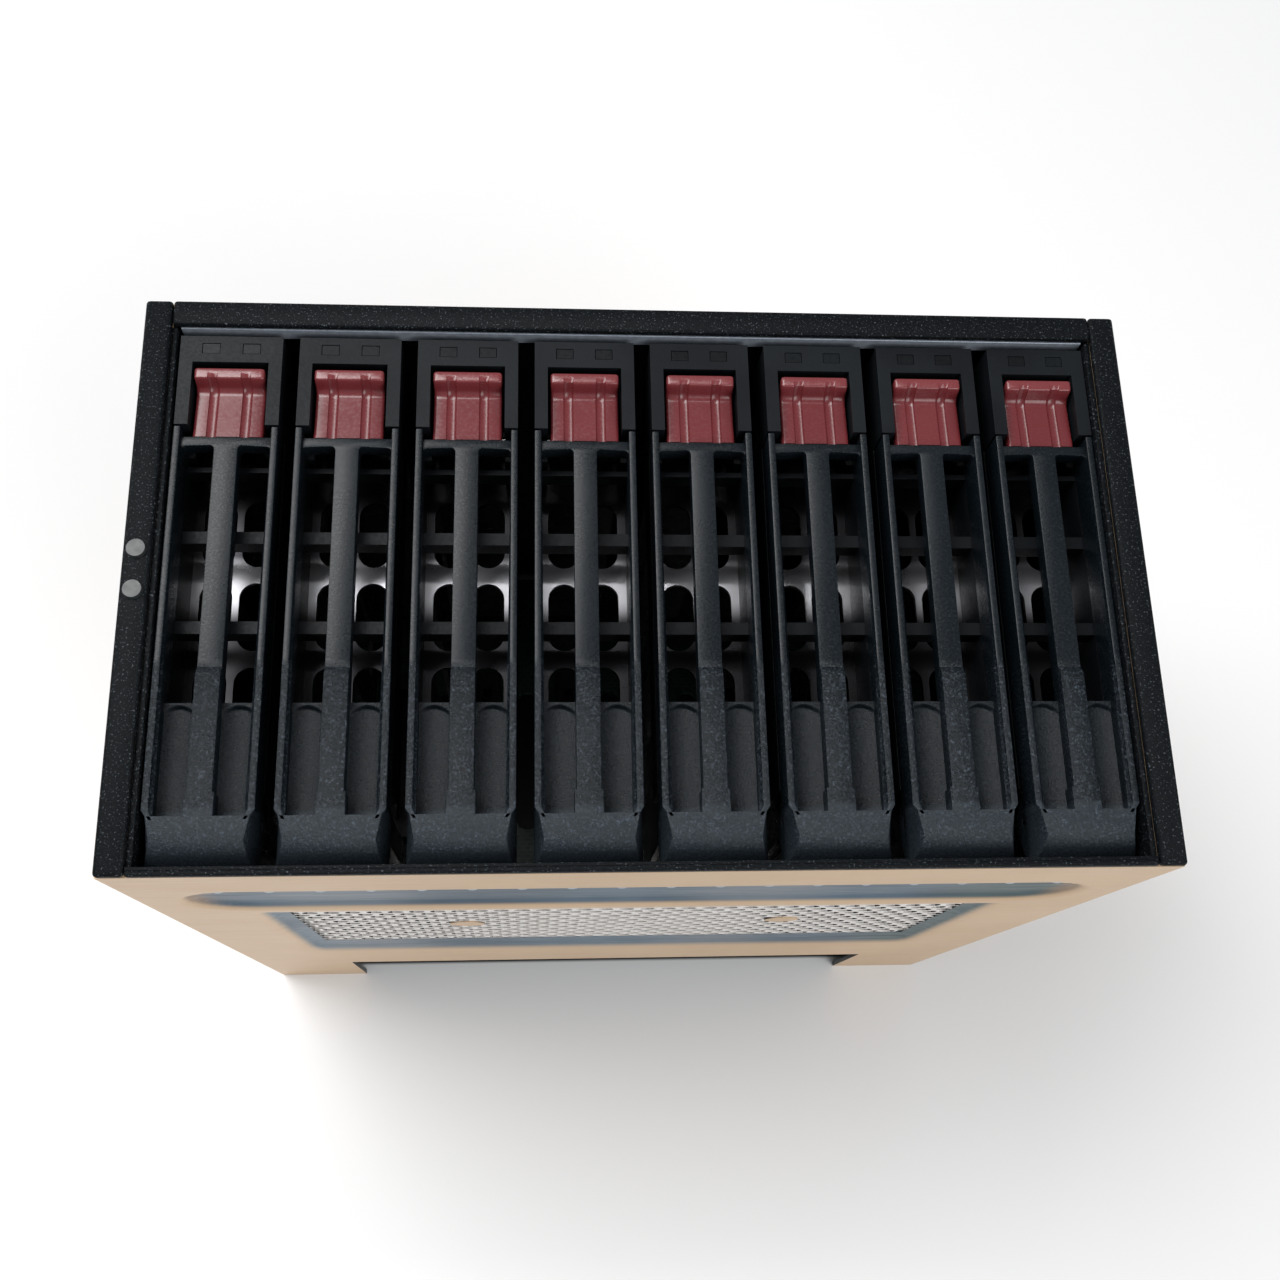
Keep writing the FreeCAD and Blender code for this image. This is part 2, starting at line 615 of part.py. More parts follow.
def bezel():
    """The moulded front of a carrier: head with the latch window, cheeks, grille bars and hinge ears."""
    body = new_body("bezel_pattern")
    mid_z = face - S["cheek_drop"]
    foot_low = carrier_low + S["foot_offset"]
    cheek_inside = carrier_half - S["cheek_gauge"]
    prism(body, "bezel_side", "YZ", -carrier_half, carrier_half,
          [[(foot_low, tray_front), (carrier_high, tray_front), (carrier_high, face), (head_low, face),
            (head_low, mid_z), (foot_low, mid_z)]])
    bars = [foot_low + S["cheek_gauge"]]
    for height, thickness in ((carrier_low + S["lower_bar_rise"], S["grille_bar"]),
                              (carrier_low + S["upper_bar_rise"], S["grille_bar"]),
                              (lever_top - S["top_bar_drop"], S["cheek_gauge"])):
        bars.extend([height - thickness / 2, height + thickness / 2])
    bars.append(window_low)
    windows = [rectangle(-cheek_inside, cheek_inside, low, high) for low, high in zip(bars[::2], bars[1::2])]
    prism(body, "grille_windows", "XY", tray_front - gauge, face + gauge, windows, cut=True)
    prism(body, "grille_back", "XY", tray_front - gauge, mid_z - S["grille_bar_depth"],
          [rectangle(-cheek_inside, cheek_inside, bars[0], window_low)], cut=True)
    prism(body, "latch_window", "XY", tray_front - gauge, face + gauge,
          [rectangle(-window_half, window_half, window_low, window_high)], cut=True)
    lamp_y = carrier_high - S["lamp_drop"]
    lamps = []
    for side in (-1, 1):
        x = S["lamp_spacing"] / 2 * side
        lamps.append(rectangle(x - S["lamp_width"] / 2, x + S["lamp_width"] / 2,
                               lamp_y - S["lamp_height"] / 2, lamp_y + S["lamp_height"] / 2))
    prism(body, "lamp_holes", "XY", tray_front - gauge, face + gauge, lamps, cut=True)
    ear_out = carrier_half - S["ear_inset"]
    ear_in = ear_out - S["ear_gauge"]
    ear = [(foot_low + S["cheek_gauge"] / 2, tray_front), (foot_low + S["cheek_gauge"] / 2, mid_z),
           (pivot_y, pivot_z + S["ear_radius"], pivot_y, pivot_z, 1),
           (pivot_y, pivot_z - S["ear_radius"])]
    prism(body, "ear_left", "YZ", -ear_out, -ear_in, [ear])
    prism(body, "ear_right", "YZ", ear_in, ear_out, [ear])
    prism(body, "hinge_holes", "YZ", -carrier_half, carrier_half, [], [(pivot_y, pivot_z, pin_hole)],
          cut=True)
    prism(body, "latch_pin_holes", "YZ", -carrier_half, carrier_half, [], [(latch_y, latch_z, pin_hole)],
          cut=True)
    return body


def lever():
    """The long ejector lever, hinged at the foot of the carrier. Its foot is round about the hinge."""
    body = new_body("lever_pattern")
    wall_in = carrier_half - S["lever_wall"]
    skin_back = face - S["lever_skin"]
    horn_top = lever_top + S["lever_horn"]
    flange_back = face - S["lever_flange"]
    hub = S["lever_radius"] - S["lever_wall"] * 1.5
    prism(body, "lever_side", "YZ", -carrier_half, carrier_half,
          [[(horn_top, flange_back), (horn_top, face), (pivot_y, face, pivot_y, pivot_z, 1),
            (carrier_low, pivot_z), (carrier_low, pivot_z - hub / 2), (pivot_y, pivot_z - hub),
            (pivot_y + hub, flange_back)]])
    prism(body, "lever_hollow", "YZ", -wall_in, wall_in,
          [[(horn_top + 1, skin_back), (pivot_y - hub / 2, skin_back),
            (carrier_low + S["lever_wall"] * 1.5, pivot_z + S["lever_wall"]),
            (carrier_low + S["lever_wall"] * 1.5, pivot_z - hub * 2), (horn_top + 1, pivot_z - hub * 2)]],
          cut=True)
    half_bar = S["lever_bar"] / 2
    window_bottom = carrier_low + S["pad_top"]
    pad_bottom = carrier_low + S["pad_bottom"]
    cross_bottom = lever_top - S["lever_cross"]
    windows = []
    pads = []
    flutes = []
    flute = (wall_in - half_bar) / 2
    for side in (-1, 1):
        low, high = (half_bar, wall_in) if side > 0 else (-wall_in, -half_bar)
        windows.append(rectangle(low, high, window_bottom, cross_bottom))
        pads.append(rectangle(low, high, pad_bottom, window_bottom))
        middle = (low + high) / 2
        radius = flute - S["flute_rim"]
        flutes.append([(middle - radius, pad_bottom), (middle + radius, pad_bottom),
                       (middle + radius, window_bottom - flute, middle, window_bottom - flute, 1),
                       (middle - radius, window_bottom - flute)])
    prism(body, "lever_windows", "XY", skin_back - gauge, face + gauge, windows, cut=True)
    prism(body, "lever_pads", "XY", face - S["pad_drop"], face + gauge, pads, cut=True)
    prism(body, "lever_flutes", "XY", face - S["pad_drop"] - S["flute_depth"], face + gauge, flutes, cut=True)
    step = carrier_low + S["step_height"]
    prism(body, "upper_bar_drop", "YZ", -half_bar, half_bar,
          [[(step, face + 1), (step, face), (step + S["bar_drop"], face - S["bar_drop"]),
            (lever_top, face - S["bar_drop"]), (lever_top, face + 1)]], cut=True)
    prism(body, "horn_gap", "XY", flange_back - gauge, face + gauge,
          [rectangle(-wall_in, wall_in, lever_top, horn_top + 1)], cut=True)
    prism(body, "lever_tongue", "XY", skin_back, skin_back + S["tongue_gauge"],
          [rectangle(-S["tongue_width"] / 2, S["tongue_width"] / 2, lever_top - S["lever_cross"],
                     lever_top + S["tongue_length"])])
    tapers = []
    for side in (-1, 1):
        tapers.append([(carrier_half * side, carrier_low + S["taper_start"]),
                       ((carrier_half - S["taper_side"]) * side, carrier_low),
                       ((carrier_half - S["taper_side"]) * side, carrier_low - 1),
                       ((carrier_half + 1) * side, carrier_low - 1),
                       ((carrier_half + 1) * side, carrier_low + S["taper_start"])])
    prism(body, "lever_tapers", "XY", pivot_z + S["ear_radius"], face + gauge, tapers, cut=True)
    prism(body, "lever_pin_holes", "YZ", -carrier_half - 1, carrier_half + 1, [],
          [(pivot_y, pivot_z, pin_hole)], cut=True)
    return body


def latch():
    """The dark red thumb latch: a curved front plate on two arms that swing about a pin."""
    body = new_body("latch_pattern")
    half = window_half - S["latch_side_gap"]
    low = lever_top + S["latch_end_gap"]
    high = window_high - S["latch_top_gap"]
    plate = face - S["latch_drop"]
    hollow = plate - S["latch_hollow"]
    back = face - S["lever_skin"] + S["tongue_gauge"] + S["latch_end_gap"]
    lip, lip_rise, lip_fall = S["latch_lip"], S["latch_lip_rise"], S["latch_lip_fall"]
    arm_foot = S["latch_arm_foot"]
    boss = S["latch_boss"]
    knee = (low + high) / 2
    prism(body, "latch_side", "YZ", -half, half,
          [[(low, back), (low, plate), (knee, hollow), (high - lip * 2, plate), (high - lip, face + lip_rise),
            (high, face + lip_rise / 2), (high, face - lip_fall), (high - lip, back - lip_fall),
            (latch_y + boss, latch_z, latch_y, latch_z, -1), (latch_y - boss, latch_z),
            (low + arm_foot, back - S["latch_skin"]), (low + arm_foot, back)]])
    prism(body, "latch_hollow", "YZ", S["latch_arm"] - half, half - S["latch_arm"],
          [rectangle(low - 1, high + 1, latch_z - boss * 2, back - S["latch_skin"])], cut=True)
    radius = S["thumb_groove"]
    centre = S["thumb_groove_spacing"] / 2
    grooves = [rectangle(centre * side - radius, centre * side + radius, low - 1, knee) for side in (-1, 1)]
    prism(body, "thumb_grooves", "XY", hollow - S["thumb_groove_depth"], face + gauge, grooves, cut=True)
    prism(body, "latch_pin_hole", "YZ", -half - 1, half + 1, [], [(latch_y, latch_z, pin_hole)], cut=True)
    return body


def pivots():
    """The lever's pin, the latch's pin and the latch's closed-wound torsion spring."""
    length = S["carrier_width"] - S["pin_end_gap"] * 2
    lever_pin = cylinder("lever_pin", "X", (0, pivot_y, pivot_z), S["pin_radius"], length)
    latch_pin = cylinder("latch_pin", "X", (0, latch_y, latch_z), S["pin_radius"], length)
    coil = cylinder("spring_coil", "X", (0, latch_y, latch_z), S["spring_radius"], S["spring_length"])
    coil_hole = cylinder("spring_bore", "X", (0, latch_y, latch_z), pin_hole, S["spring_length"] + 2)
    return group("pivots_pattern", [lever_pin, latch_pin, cut("latch_spring", coil, coil_hole)])


def light_pipes():
    """Two clear bars that carry the lamps' light to the head's face."""
    play = S["lamp_play"]
    y = carrier_high - S["lamp_drop"]
    half_y = S["lamp_height"] / 2 - play
    half_x = S["lamp_width"] / 2 - play
    members = []
    for number, side in enumerate((-1, 1), start=1):
        x = S["lamp_spacing"] / 2 * side
        members.append(block(f"light_pipe_{number}", (x - half_x, x + half_x), (y - half_y, y + half_y),
                             (tray_front, face - play)))
    return group("light_pipes_pattern", members)


# ---------------------------------------------------------------- assembly, checks and export

nodes = [side_plate("left_plate", -1), side_plate("right_plate", 1), top_plate(), bottom_plate(),
         front_frame(), frame_rivets(), backplane(), backplane_screws(), drive_sockets(),
         cable_connectors(), guides("upper_guides", 1), guides("lower_guides", -1)]
patterns = {"tray": tray(), "bezel": bezel(), "lever": lever(), "latch": latch(), "pivots": pivots(),
            "light_pipes": light_pipes()}
for bay in range(BAYS):
    for name, pattern in patterns.items():
        nodes.append(bay_copy(f"{name}_{bay + 1}", pattern, bay))
doc.recompute()

for item in doc.Objects:
    if "Invalid" in item.State or "Error" in item.State:
        raise RuntimeError(f"{item.Name} failed: {item.State}")

os.makedirs("parts", exist_ok=True)
for node in nodes:
    shape = Part.getShape(node)
    if shape.isNull() or not shape.isValid():
        raise RuntimeError(f"{node.Label} has no valid shape")
    shape.exportStep(os.path.join("parts", f"{node.Label}.step"))
print(len(nodes), "nodes written")
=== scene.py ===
import math

import bmesh
import bpy
from mathutils import Matrix, Vector

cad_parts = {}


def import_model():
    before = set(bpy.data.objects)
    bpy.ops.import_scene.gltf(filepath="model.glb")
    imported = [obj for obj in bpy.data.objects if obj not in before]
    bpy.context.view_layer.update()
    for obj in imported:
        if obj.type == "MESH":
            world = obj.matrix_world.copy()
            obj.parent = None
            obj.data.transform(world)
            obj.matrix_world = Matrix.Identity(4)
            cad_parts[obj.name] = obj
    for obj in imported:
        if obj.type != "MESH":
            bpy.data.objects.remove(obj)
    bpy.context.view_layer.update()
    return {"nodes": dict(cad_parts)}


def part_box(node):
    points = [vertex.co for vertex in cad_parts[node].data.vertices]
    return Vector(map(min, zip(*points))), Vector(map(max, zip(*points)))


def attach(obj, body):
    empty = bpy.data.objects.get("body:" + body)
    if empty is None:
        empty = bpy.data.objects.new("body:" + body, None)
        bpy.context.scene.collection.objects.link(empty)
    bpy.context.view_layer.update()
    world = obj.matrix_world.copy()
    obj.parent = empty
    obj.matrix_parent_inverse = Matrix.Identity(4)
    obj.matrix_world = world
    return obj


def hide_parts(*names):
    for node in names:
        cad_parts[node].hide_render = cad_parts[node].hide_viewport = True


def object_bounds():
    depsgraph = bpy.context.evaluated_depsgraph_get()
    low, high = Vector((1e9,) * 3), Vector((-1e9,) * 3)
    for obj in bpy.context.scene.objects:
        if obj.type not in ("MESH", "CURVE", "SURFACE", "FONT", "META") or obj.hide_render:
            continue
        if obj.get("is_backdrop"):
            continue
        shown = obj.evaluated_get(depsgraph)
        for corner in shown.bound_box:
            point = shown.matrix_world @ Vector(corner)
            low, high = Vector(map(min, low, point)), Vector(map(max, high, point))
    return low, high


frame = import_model()
MM = 0.001
BAYS = 8

scene = bpy.context.scene
scene.view_settings.view_transform = "Standard"

FRAME_GAUGE = 1.6 * MM
high_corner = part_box("front_frame")[1]
FACE_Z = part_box("bezel_1")[1].z
MOUTH_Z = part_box("top_plate")[1].z + FRAME_GAUGE
HALF_X = high_corner.x
HALF_Y = high_corner.y


def bay_x(bay):
    """The middle of a bay, counted from 1."""
    low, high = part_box(f"bezel_{bay}")
    return (low.x + high.x) / 2


# ---------------------------------------------------------------- shader sums

class Sum:
    """A socket in a node tree that can be used in Python sums."""

    def __init__(self, tree, socket):
        self.tree = tree
        self.socket = socket

    def _math(self, operation, other, swap=False):
        node = self.tree.nodes.new("ShaderNodeMath")
        node.operation = operation
        pair = (other, self) if swap else (self, other)
        for number, value in enumerate(pair):
            plug(self.tree, value, node.inputs[number])
        return Sum(self.tree, node.outputs[0])

    def __add__(self, other):
        return self._math("ADD", other)

    def __radd__(self, other):
        return self._math("ADD", other)

    def __sub__(self, other):
        return self._math("SUBTRACT", other)

    def __rsub__(self, other):
        return self._math("SUBTRACT", other, swap=True)

    def __mul__(self, other):
        return self._math("MULTIPLY", other)

    def __rmul__(self, other):
        return self._math("MULTIPLY", other)

    def __truediv__(self, other):
        return self._math("DIVIDE", other)

    def __mod__(self, other):
        return self._math("MODULO", other)

    def __abs__(self):
        return self._math("ABSOLUTE", 0.0)

    def whole(self):
        return self._math("FLOOR", 0.0)


def plug(tree, value, socket):
    """Links a Sum to a socket, or sets a plain value on it."""
    if isinstance(value, Sum):
        tree.links.new(value.socket, socket)
    else:
        socket.default_value = value


class Tree:
    """A node tree whose nodes all come from one method."""

    def __init__(self, tree):
        self.tree = tree

    def node(self, kind, settings, inputs, output=0):
        """Adds a node. Its settings go in first, then the values or links of its sockets."""
        node = self.tree.nodes.new(kind)
        for key, value in settings.items():
            if key == "stops":
                ramp = node.color_ramp
                while len(ramp.elements) < len(value):
                    ramp.elements.new(0.5)
                for element, (position, colour) in zip(ramp.elements, value):
                    element.position = position
                    element.color = colour
            else:
                setattr(node, key, value)
        for key, value in inputs.items():
            plug(self.tree, value, node.inputs[key])
        return Sum(self.tree, node.outputs[output])


class Finish(Tree):
    """A material whose Principled shader is fed by named nodes."""

    def __init__(self, name):
        self.material = bpy.data.materials.new(name)
        self.material.use_nodes = True
        super().__init__(self.material.node_tree)
        self.shader = self.tree.nodes["Principled BSDF"]
        self.place = self.node("ShaderNodeTexCoord", {}, {}, "Object")

    def noise(self, scale, detail=2.0, roughness=0.5):
        return self.node("ShaderNodeTexNoise", {}, {"Vector": self.place, "Scale": scale, "Detail": detail,
                                                    "Roughness": roughness})

    def ramp(self, value, low, high, start=0.0, end=1.0):
        """A smooth change from start to end as value goes from low to high."""
        return self.node("ShaderNodeMapRange", {"interpolation_type": "SMOOTHSTEP"},
                         {"Value": value, "From Min": low, "From Max": high, "To Min": start, "To Max": end})

    def mix(self, factor, first, second):
        node = self.tree.nodes.new("ShaderNodeMix")
        node.data_type = "RGBA"
        plug(self.tree, factor, node.inputs["Factor"])
        plug(self.tree, first, node.inputs[6])
        plug(self.tree, second, node.inputs[7])
        return Sum(self.tree, node.outputs[2])

    def axis(self, letter):
        return self.node("ShaderNodeSeparateXYZ", {}, {"Vector": self.place}, letter)

    def inside(self):
        """1 on faces that look towards the cage's middle, 0 on those that look out."""
        normal = self.node("ShaderNodeTexCoord", {}, {}, "Normal")
        parts = [self.node("ShaderNodeSeparateXYZ", {}, {"Vector": normal}, letter) for letter in "XY"]
        outward = parts[0] * self.axis("X") + parts[1] * self.axis("Y")
        return self.ramp(outward, -0.03, -0.01, 1.0, 0.0)

    def set(self, **inputs):
        for key, value in inputs.items():
            plug(self.tree, value, self.shader.inputs[key.replace("_", " ")])

    def bump(self, height, strength, distance):
        self.set(Normal=self.node("ShaderNodeBump", {}, {"Height": height, "Strength": strength,
                                                         "Distance": distance}))


def colour(red, green, blue_reflection):
    return (red, green, blue_reflection, 1.0)


def moulded_plastic(name, dark, light, grain, strength, rough):
    """Moulded plastic: a fine spark-eroded grain, with a slow change of tone."""
    finish = Finish(name)
    tone = finish.ramp(finish.noise(60.0, 3.0), 0.35, 0.65)
    fine = finish.noise(grain, 3.0, 0.6)
    finish.set(Base_Color=finish.mix(tone, dark, light), Specular_IOR_Level=0.14)
    finish.set(Roughness=finish.ramp(fine, 0.3, 0.7, rough - 0.06, rough + 0.08))
    finish.bump(fine, strength, 0.00006)
    return finish.material


def lever_plastic():
    """The lever's plastic: satin along the bar and a coarser grain on the foot, with glints painted in as
    light flecks and the foot painted lighter, as light falling on its flat face.
    """
    finish = Finish("lever_plastic")
    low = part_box("lever_1")[0].y
    grainy = finish.ramp(finish.axis("Y"), low + 32 * MM, low + 34 * MM, 1.0, 0.2)
    foot = finish.ramp(finish.axis("Y"), low + 8.3 * MM, low + 9.3 * MM, 1.0, 0.0)
    proud = finish.ramp(finish.axis("Z"), FACE_Z - 1.6 * MM, FACE_Z - 1.1 * MM, 0.25, 1.0)
    coarse = finish.noise(2300.0, 4.0, 0.8)
    tone = finish.ramp(finish.noise(45.0, 3.0), 0.3, 0.7)
    # Painted glints: light flecks on the coarse grain, dimmed in the recesses as painted shade.
    painted_sparkle = finish.ramp(coarse, 0.52, 0.7) * grainy * proud
    satin = finish.mix(tone, colour(0.003, 0.0055, 0.0075), colour(0.005, 0.008, 0.011))
    # The foot is painted lighter than the bar, as light falling on its flat face.
    body = finish.mix(foot, satin, colour(0.016, 0.022, 0.028))
    finish.set(Base_Color=finish.mix(painted_sparkle, body, colour(0.075, 0.095, 0.12)), Specular_IOR_Level=0.25)
    finish.set(Roughness=finish.ramp(coarse, 0.35, 0.65, 0.24, 0.4))
    finish.bump(coarse * grainy, 0.8, 0.0002)
    return finish.material


def latch_red():
    """Dark red satin plastic, a little lighter towards its front, on the thumb lip."""
    finish = Finish("latch_red")
    fine = finish.noise(1800.0, 3.0)
    # Lighter towards the front: the lip and the top of its slope.
    lightened = finish.ramp(finish.axis("Z"), FACE_Z - 1.2 * MM, FACE_Z + 0.6 * MM, 0.0, 0.45)
    tone = finish.ramp(finish.noise(140.0, 3.0), 0.35, 0.65, 0.0, 0.3)
    deep = finish.mix(tone, colour(0.125, 0.017, 0.02), colour(0.165, 0.028, 0.032))
    finish.set(Base_Color=finish.mix(lightened, deep, colour(0.21, 0.042, 0.045)), Specular_IOR_Level=0.6)
    finish.set(Roughness=finish.ramp(fine, 0.3, 0.7, 0.2, 0.3))
    finish.bump(fine, 0.25, 0.00004)
    return finish.material


def textured_black():
    """Fine textured powder coat, with tiny glints painted into its colour as light flecks."""
    finish = Finish("textured_black")
    grit = finish.noise(1500.0, 5.0, 0.7)
    painted_glint = finish.ramp(finish.noise(2800.0, 2.0), 0.6, 0.72)
    base = finish.mix(finish.ramp(grit, 0.35, 0.7), colour(0.003, 0.004, 0.005), colour(0.006, 0.0075, 0.009))
    finish.set(Base_Color=finish.mix(painted_glint, base, colour(0.07, 0.08, 0.09)), Specular_IOR_Level=0.08)
    finish.set(Roughness=finish.ramp(grit, 0.3, 0.7, 0.36, 0.6))
    finish.bump(grit, 0.7, 0.00022)
    return finish.material


def zinc_plate(name, warm, cool, metallic, rough):
    """Zinc plated sheet: rolled grain along its length and faint spangle."""
    finish = Finish(name)
    stretched = finish.node("ShaderNodeMapping", {}, {"Vector": finish.place, "Scale": (30.0, 30.0, 1.2)})
    grain = finish.node("ShaderNodeTexNoise", {}, {"Vector": stretched, "Scale": 60.0, "Detail": 4.0})
    spangle = finish.node("ShaderNodeTexVoronoi", {"feature": "F1"}, {"Vector": finish.place, "Scale": 160.0})
    tone = finish.ramp(grain + spangle * 0.25, 0.35, 0.85, 0.0, 1.0)
    outside = finish.mix(tone, warm, cool)
    # Faces that look into the cage are painted near black, as the shade inside it.
    finish.set(Base_Color=finish.mix(finish.inside(), outside, colour(0.02, 0.02, 0.022)), Metallic=metallic)
    finish.set(Roughness=finish.ramp(grain, 0.3, 0.7, rough - 0.06, rough + 0.08))
    finish.bump(grain, 0.12, 0.00004)
    return finish.material


def pressed_zinc():
    """The lower plate: its flat painted warm tan and its pressed-in parts painted blue, as reflections of a
    warm surface and of cool light.
    """
    finish = Finish("pressed_zinc")
    stretched = finish.node("ShaderNodeMapping", {}, {"Vector": finish.place, "Scale": (1.0, 30.0, 22.0)})
    grain = finish.node("ShaderNodeTexNoise", {}, {"Vector": stretched, "Scale": 60.0, "Detail": 4.0})
    pressed = finish.node("ShaderNodeAttribute", {"attribute_name": "pressed"}, {}, "Fac")
    along = finish.axis("X")
    cloud = finish.ramp(finish.noise(28.0, 3.0), 0.35, 0.65)
    # The flat's warm tan is painted, as a reflection of a warm surface.
    flat = finish.mix(finish.ramp(grain + cloud * 0.3, 0.4, 1.0), colour(0.55, 0.375, 0.22),
                      colour(0.6, 0.42, 0.26))
    # Painted reflection of cool light on the pressed-in parts: lighter in two patches as painted highlights,
    # darker beyond 48 mm, and warm brown at the channel's ends as the warm surface's painted reflection.
    blue_reflection = finish.mix(cloud, colour(0.035, 0.072, 0.11), colour(0.075, 0.13, 0.18))
    left_highlight = finish.ramp(along, -72 * MM, -58 * MM) * finish.ramp(along, -52 * MM, -34 * MM, 1.0, 0.0)
    mid_highlight = finish.ramp(along, 2 * MM, 20 * MM) * finish.ramp(along, 24 * MM, 42 * MM, 1.0, 0.0)
    blue_reflection = finish.mix((left_highlight + mid_highlight) * 0.7, blue_reflection, colour(0.15, 0.18, 0.21))
    blue_reflection = finish.mix(finish.ramp(along, 48 * MM, 66 * MM), blue_reflection, colour(0.03, 0.07, 0.08))
    ends = finish.ramp(abs(along), 74 * MM, 81 * MM)
    blue_reflection = finish.mix(ends, blue_reflection, colour(0.3, 0.19, 0.11))
    outside = finish.mix(finish.ramp(pressed, 0.12, 0.7), flat, blue_reflection)
    # Faces that look into the cage are painted near black, as the shade inside it.
    finish.set(Base_Color=finish.mix(finish.inside(), outside, colour(0.02, 0.02, 0.022)))
    finish.set(Metallic=finish.ramp(pressed, 0.2, 0.8, 0.12, 0.35))
    finish.set(Roughness=finish.ramp(grain, 0.3, 0.7, 0.36, 0.5))
    finish.bump(grain, 0.12, 0.00004)
    return finish.material


def plain_finish(name, tint, rough, metallic=0.0, scale=900.0):
    """A small part's finish, with a little grain in its tone and gloss."""
    finish = Finish(name)
    grain = finish.noise(scale, 3.0)
    dark = colour(*[part * 0.82 for part in tint])
    finish.set(Base_Color=finish.mix(finish.ramp(grain, 0.3, 0.7), dark, colour(*tint)), Metallic=metallic)
    finish.set(Roughness=finish.ramp(grain, 0.3, 0.7, rough - 0.05, rough + 0.05))
    finish.bump(grain, 0.15, 0.00003)
    return finish.material


def dark_steel():
    """The trays' galvanised sheet, painted dark as the shade in the cage, with a band towards the face
    painted bright as a reflection.
    """
    finish = Finish("tray_steel")
    spangle = finish.node("ShaderNodeTexVoronoi", {"feature": "F1"}, {"Vector": finish.place, "Scale": 520.0})
    cloud = finish.noise(90.0, 3.0)
    sheet = finish.mix(finish.ramp(spangle + cloud * 0.5, 0.4, 0.9), colour(0.14, 0.14, 0.145),
                       colour(0.17, 0.17, 0.176))
    up = finish.axis("Y")
    # Towards the face the sheet is painted near black as shade, with a band across it painted bright as a
    # reflection.
    lightened = finish.ramp(up, -3 * MM, 2 * MM) * finish.ramp(up, 6 * MM, 10 * MM, 1.0, 0.0)
    wall = finish.mix(lightened, colour(0.018, 0.018, 0.02), colour(0.42, 0.42, 0.44))
    ahead = finish.ramp(finish.axis("Z"), FACE_Z - 19 * MM, FACE_Z - 17.6 * MM)
    finish.set(Base_Color=finish.mix(ahead, sheet, wall), Metallic=0.85)
    finish.set(Roughness=finish.ramp(cloud, 0.3, 0.7, 0.24, 0.36))
    finish.bump(spangle, 0.1, 0.00003)
    return finish.material


def board_green():
    """Green solder mask with fine tracks."""
    finish = Finish("board_green")
    tracks = finish.node("ShaderNodeTexBrick", {"offset": 0.5}, {"Vector": finish.place, "Scale": 240.0,
                                                                 "Mortar Size": 0.06}, "Fac")
    finish.set(Base_Color=finish.mix(tracks, colour(0.012, 0.05, 0.03), colour(0.02, 0.085, 0.05)))
    finish.set(Roughness=finish.ramp(finish.noise(300.0), 0.3, 0.7, 0.25, 0.4))
    return finish.material


FINISHES = {
    "lever": lever_plastic(),
    "bezel": moulded_plastic("bezel_plastic", colour(0.005, 0.006, 0.008), colour(0.008, 0.01, 0.012),
                             2200.0, 0.3, 0.42),
    "latch": latch_red(),
    "frame": textured_black(),
    "tray": dark_steel(),
    "pressed": pressed_zinc(),
    "lip": plain_finish("lip_steel", (0.4, 0.45, 0.52), 0.35, 0.4),
    # The plates' warm tan is painted, as a reflection of a warm surface.
    "plate": zinc_plate("zinc_plate", colour(0.55, 0.375, 0.22), colour(0.6, 0.42, 0.26), 0.3, 0.4),
    "vents": zinc_plate("vent_plate", colour(0.66, 0.62, 0.58), colour(0.8, 0.77, 0.74), 0.1, 0.45),
    "pins": plain_finish("bright_steel", (0.6, 0.6, 0.6), 0.25, 1.0),
    "lamp": moulded_plastic("smoked_lens", colour(0.004, 0.005, 0.006), colour(0.007, 0.009, 0.01),
                            1500.0, 0.1, 0.3),
    "board": board_green(),
    "socket": plain_finish("socket_plastic", (0.02, 0.02, 0.022), 0.5),
    "connector": plain_finish("plated_shell", (0.62, 0.62, 0.6), 0.3, 0.9),
    "guide": plain_finish("guide_plastic", (0.016, 0.016, 0.018), 0.5),
    "rivet": plain_finish("rivet_paint", (0.03, 0.036, 0.036), 0.38),
}


# ---------------------------------------------------------------- mesh helpers

def new_piece(name, mesh, finish, body):
    piece = bpy.data.objects.new(name, mesh)
    scene.collection.objects.link(piece)
    mesh.materials.clear()
    mesh.materials.append(FINISHES[finish])
    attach(piece, body)
    return piece


def settled(data, *modifiers):
    """The mesh that some data gives with its modifiers, each a type and its settings, worked out."""
    holder = bpy.data.objects.new("holder", data)
    scene.collection.objects.link(holder)
    for kind, settings in modifiers:
        modifier = holder.modifiers.new(kind, kind)
        for key, value in settings.items():
            if key in modifier.bl_rna.properties:
                setattr(modifier, key, value)
            else:
                modifier[input_socket(modifier.node_group, key)] = value
    bpy.context.view_layer.update()
    graph = bpy.context.evaluated_depsgraph_get()
    mesh = bpy.data.meshes.new_from_object(holder.evaluated_get(graph))
    bpy.data.objects.remove(holder)
    return mesh


def input_socket(group, name):
    """The identifier of a node group's input."""
    return next(item.identifier for item in group.interface.items_tree
                if item.name == name and item.in_out == "INPUT")


def ended(work, name):
    """The mesh of a bmesh, which is freed."""
    mesh = bpy.data.meshes.new(name)
    work.to_mesh(mesh)
    work.free()
    return mesh


def smoothed(mesh, angle):
    """Smooth shading, with edges that turn by more than an angle in degrees left sharp."""
    for polygon in mesh.polygons:
        polygon.use_smooth = True
    mesh.set_sharp_from_angle(angle=math.radians(angle))
    return mesh


def bevelled(mesh, width, segments, angle=30.0):
    """The mesh with its edges rounded."""
    return settled(mesh, ("BEVEL", {"width": width, "segments": segments, "limit_method": "ANGLE",
                                    "angle_limit": math.radians(angle), "harden_normals": True}))


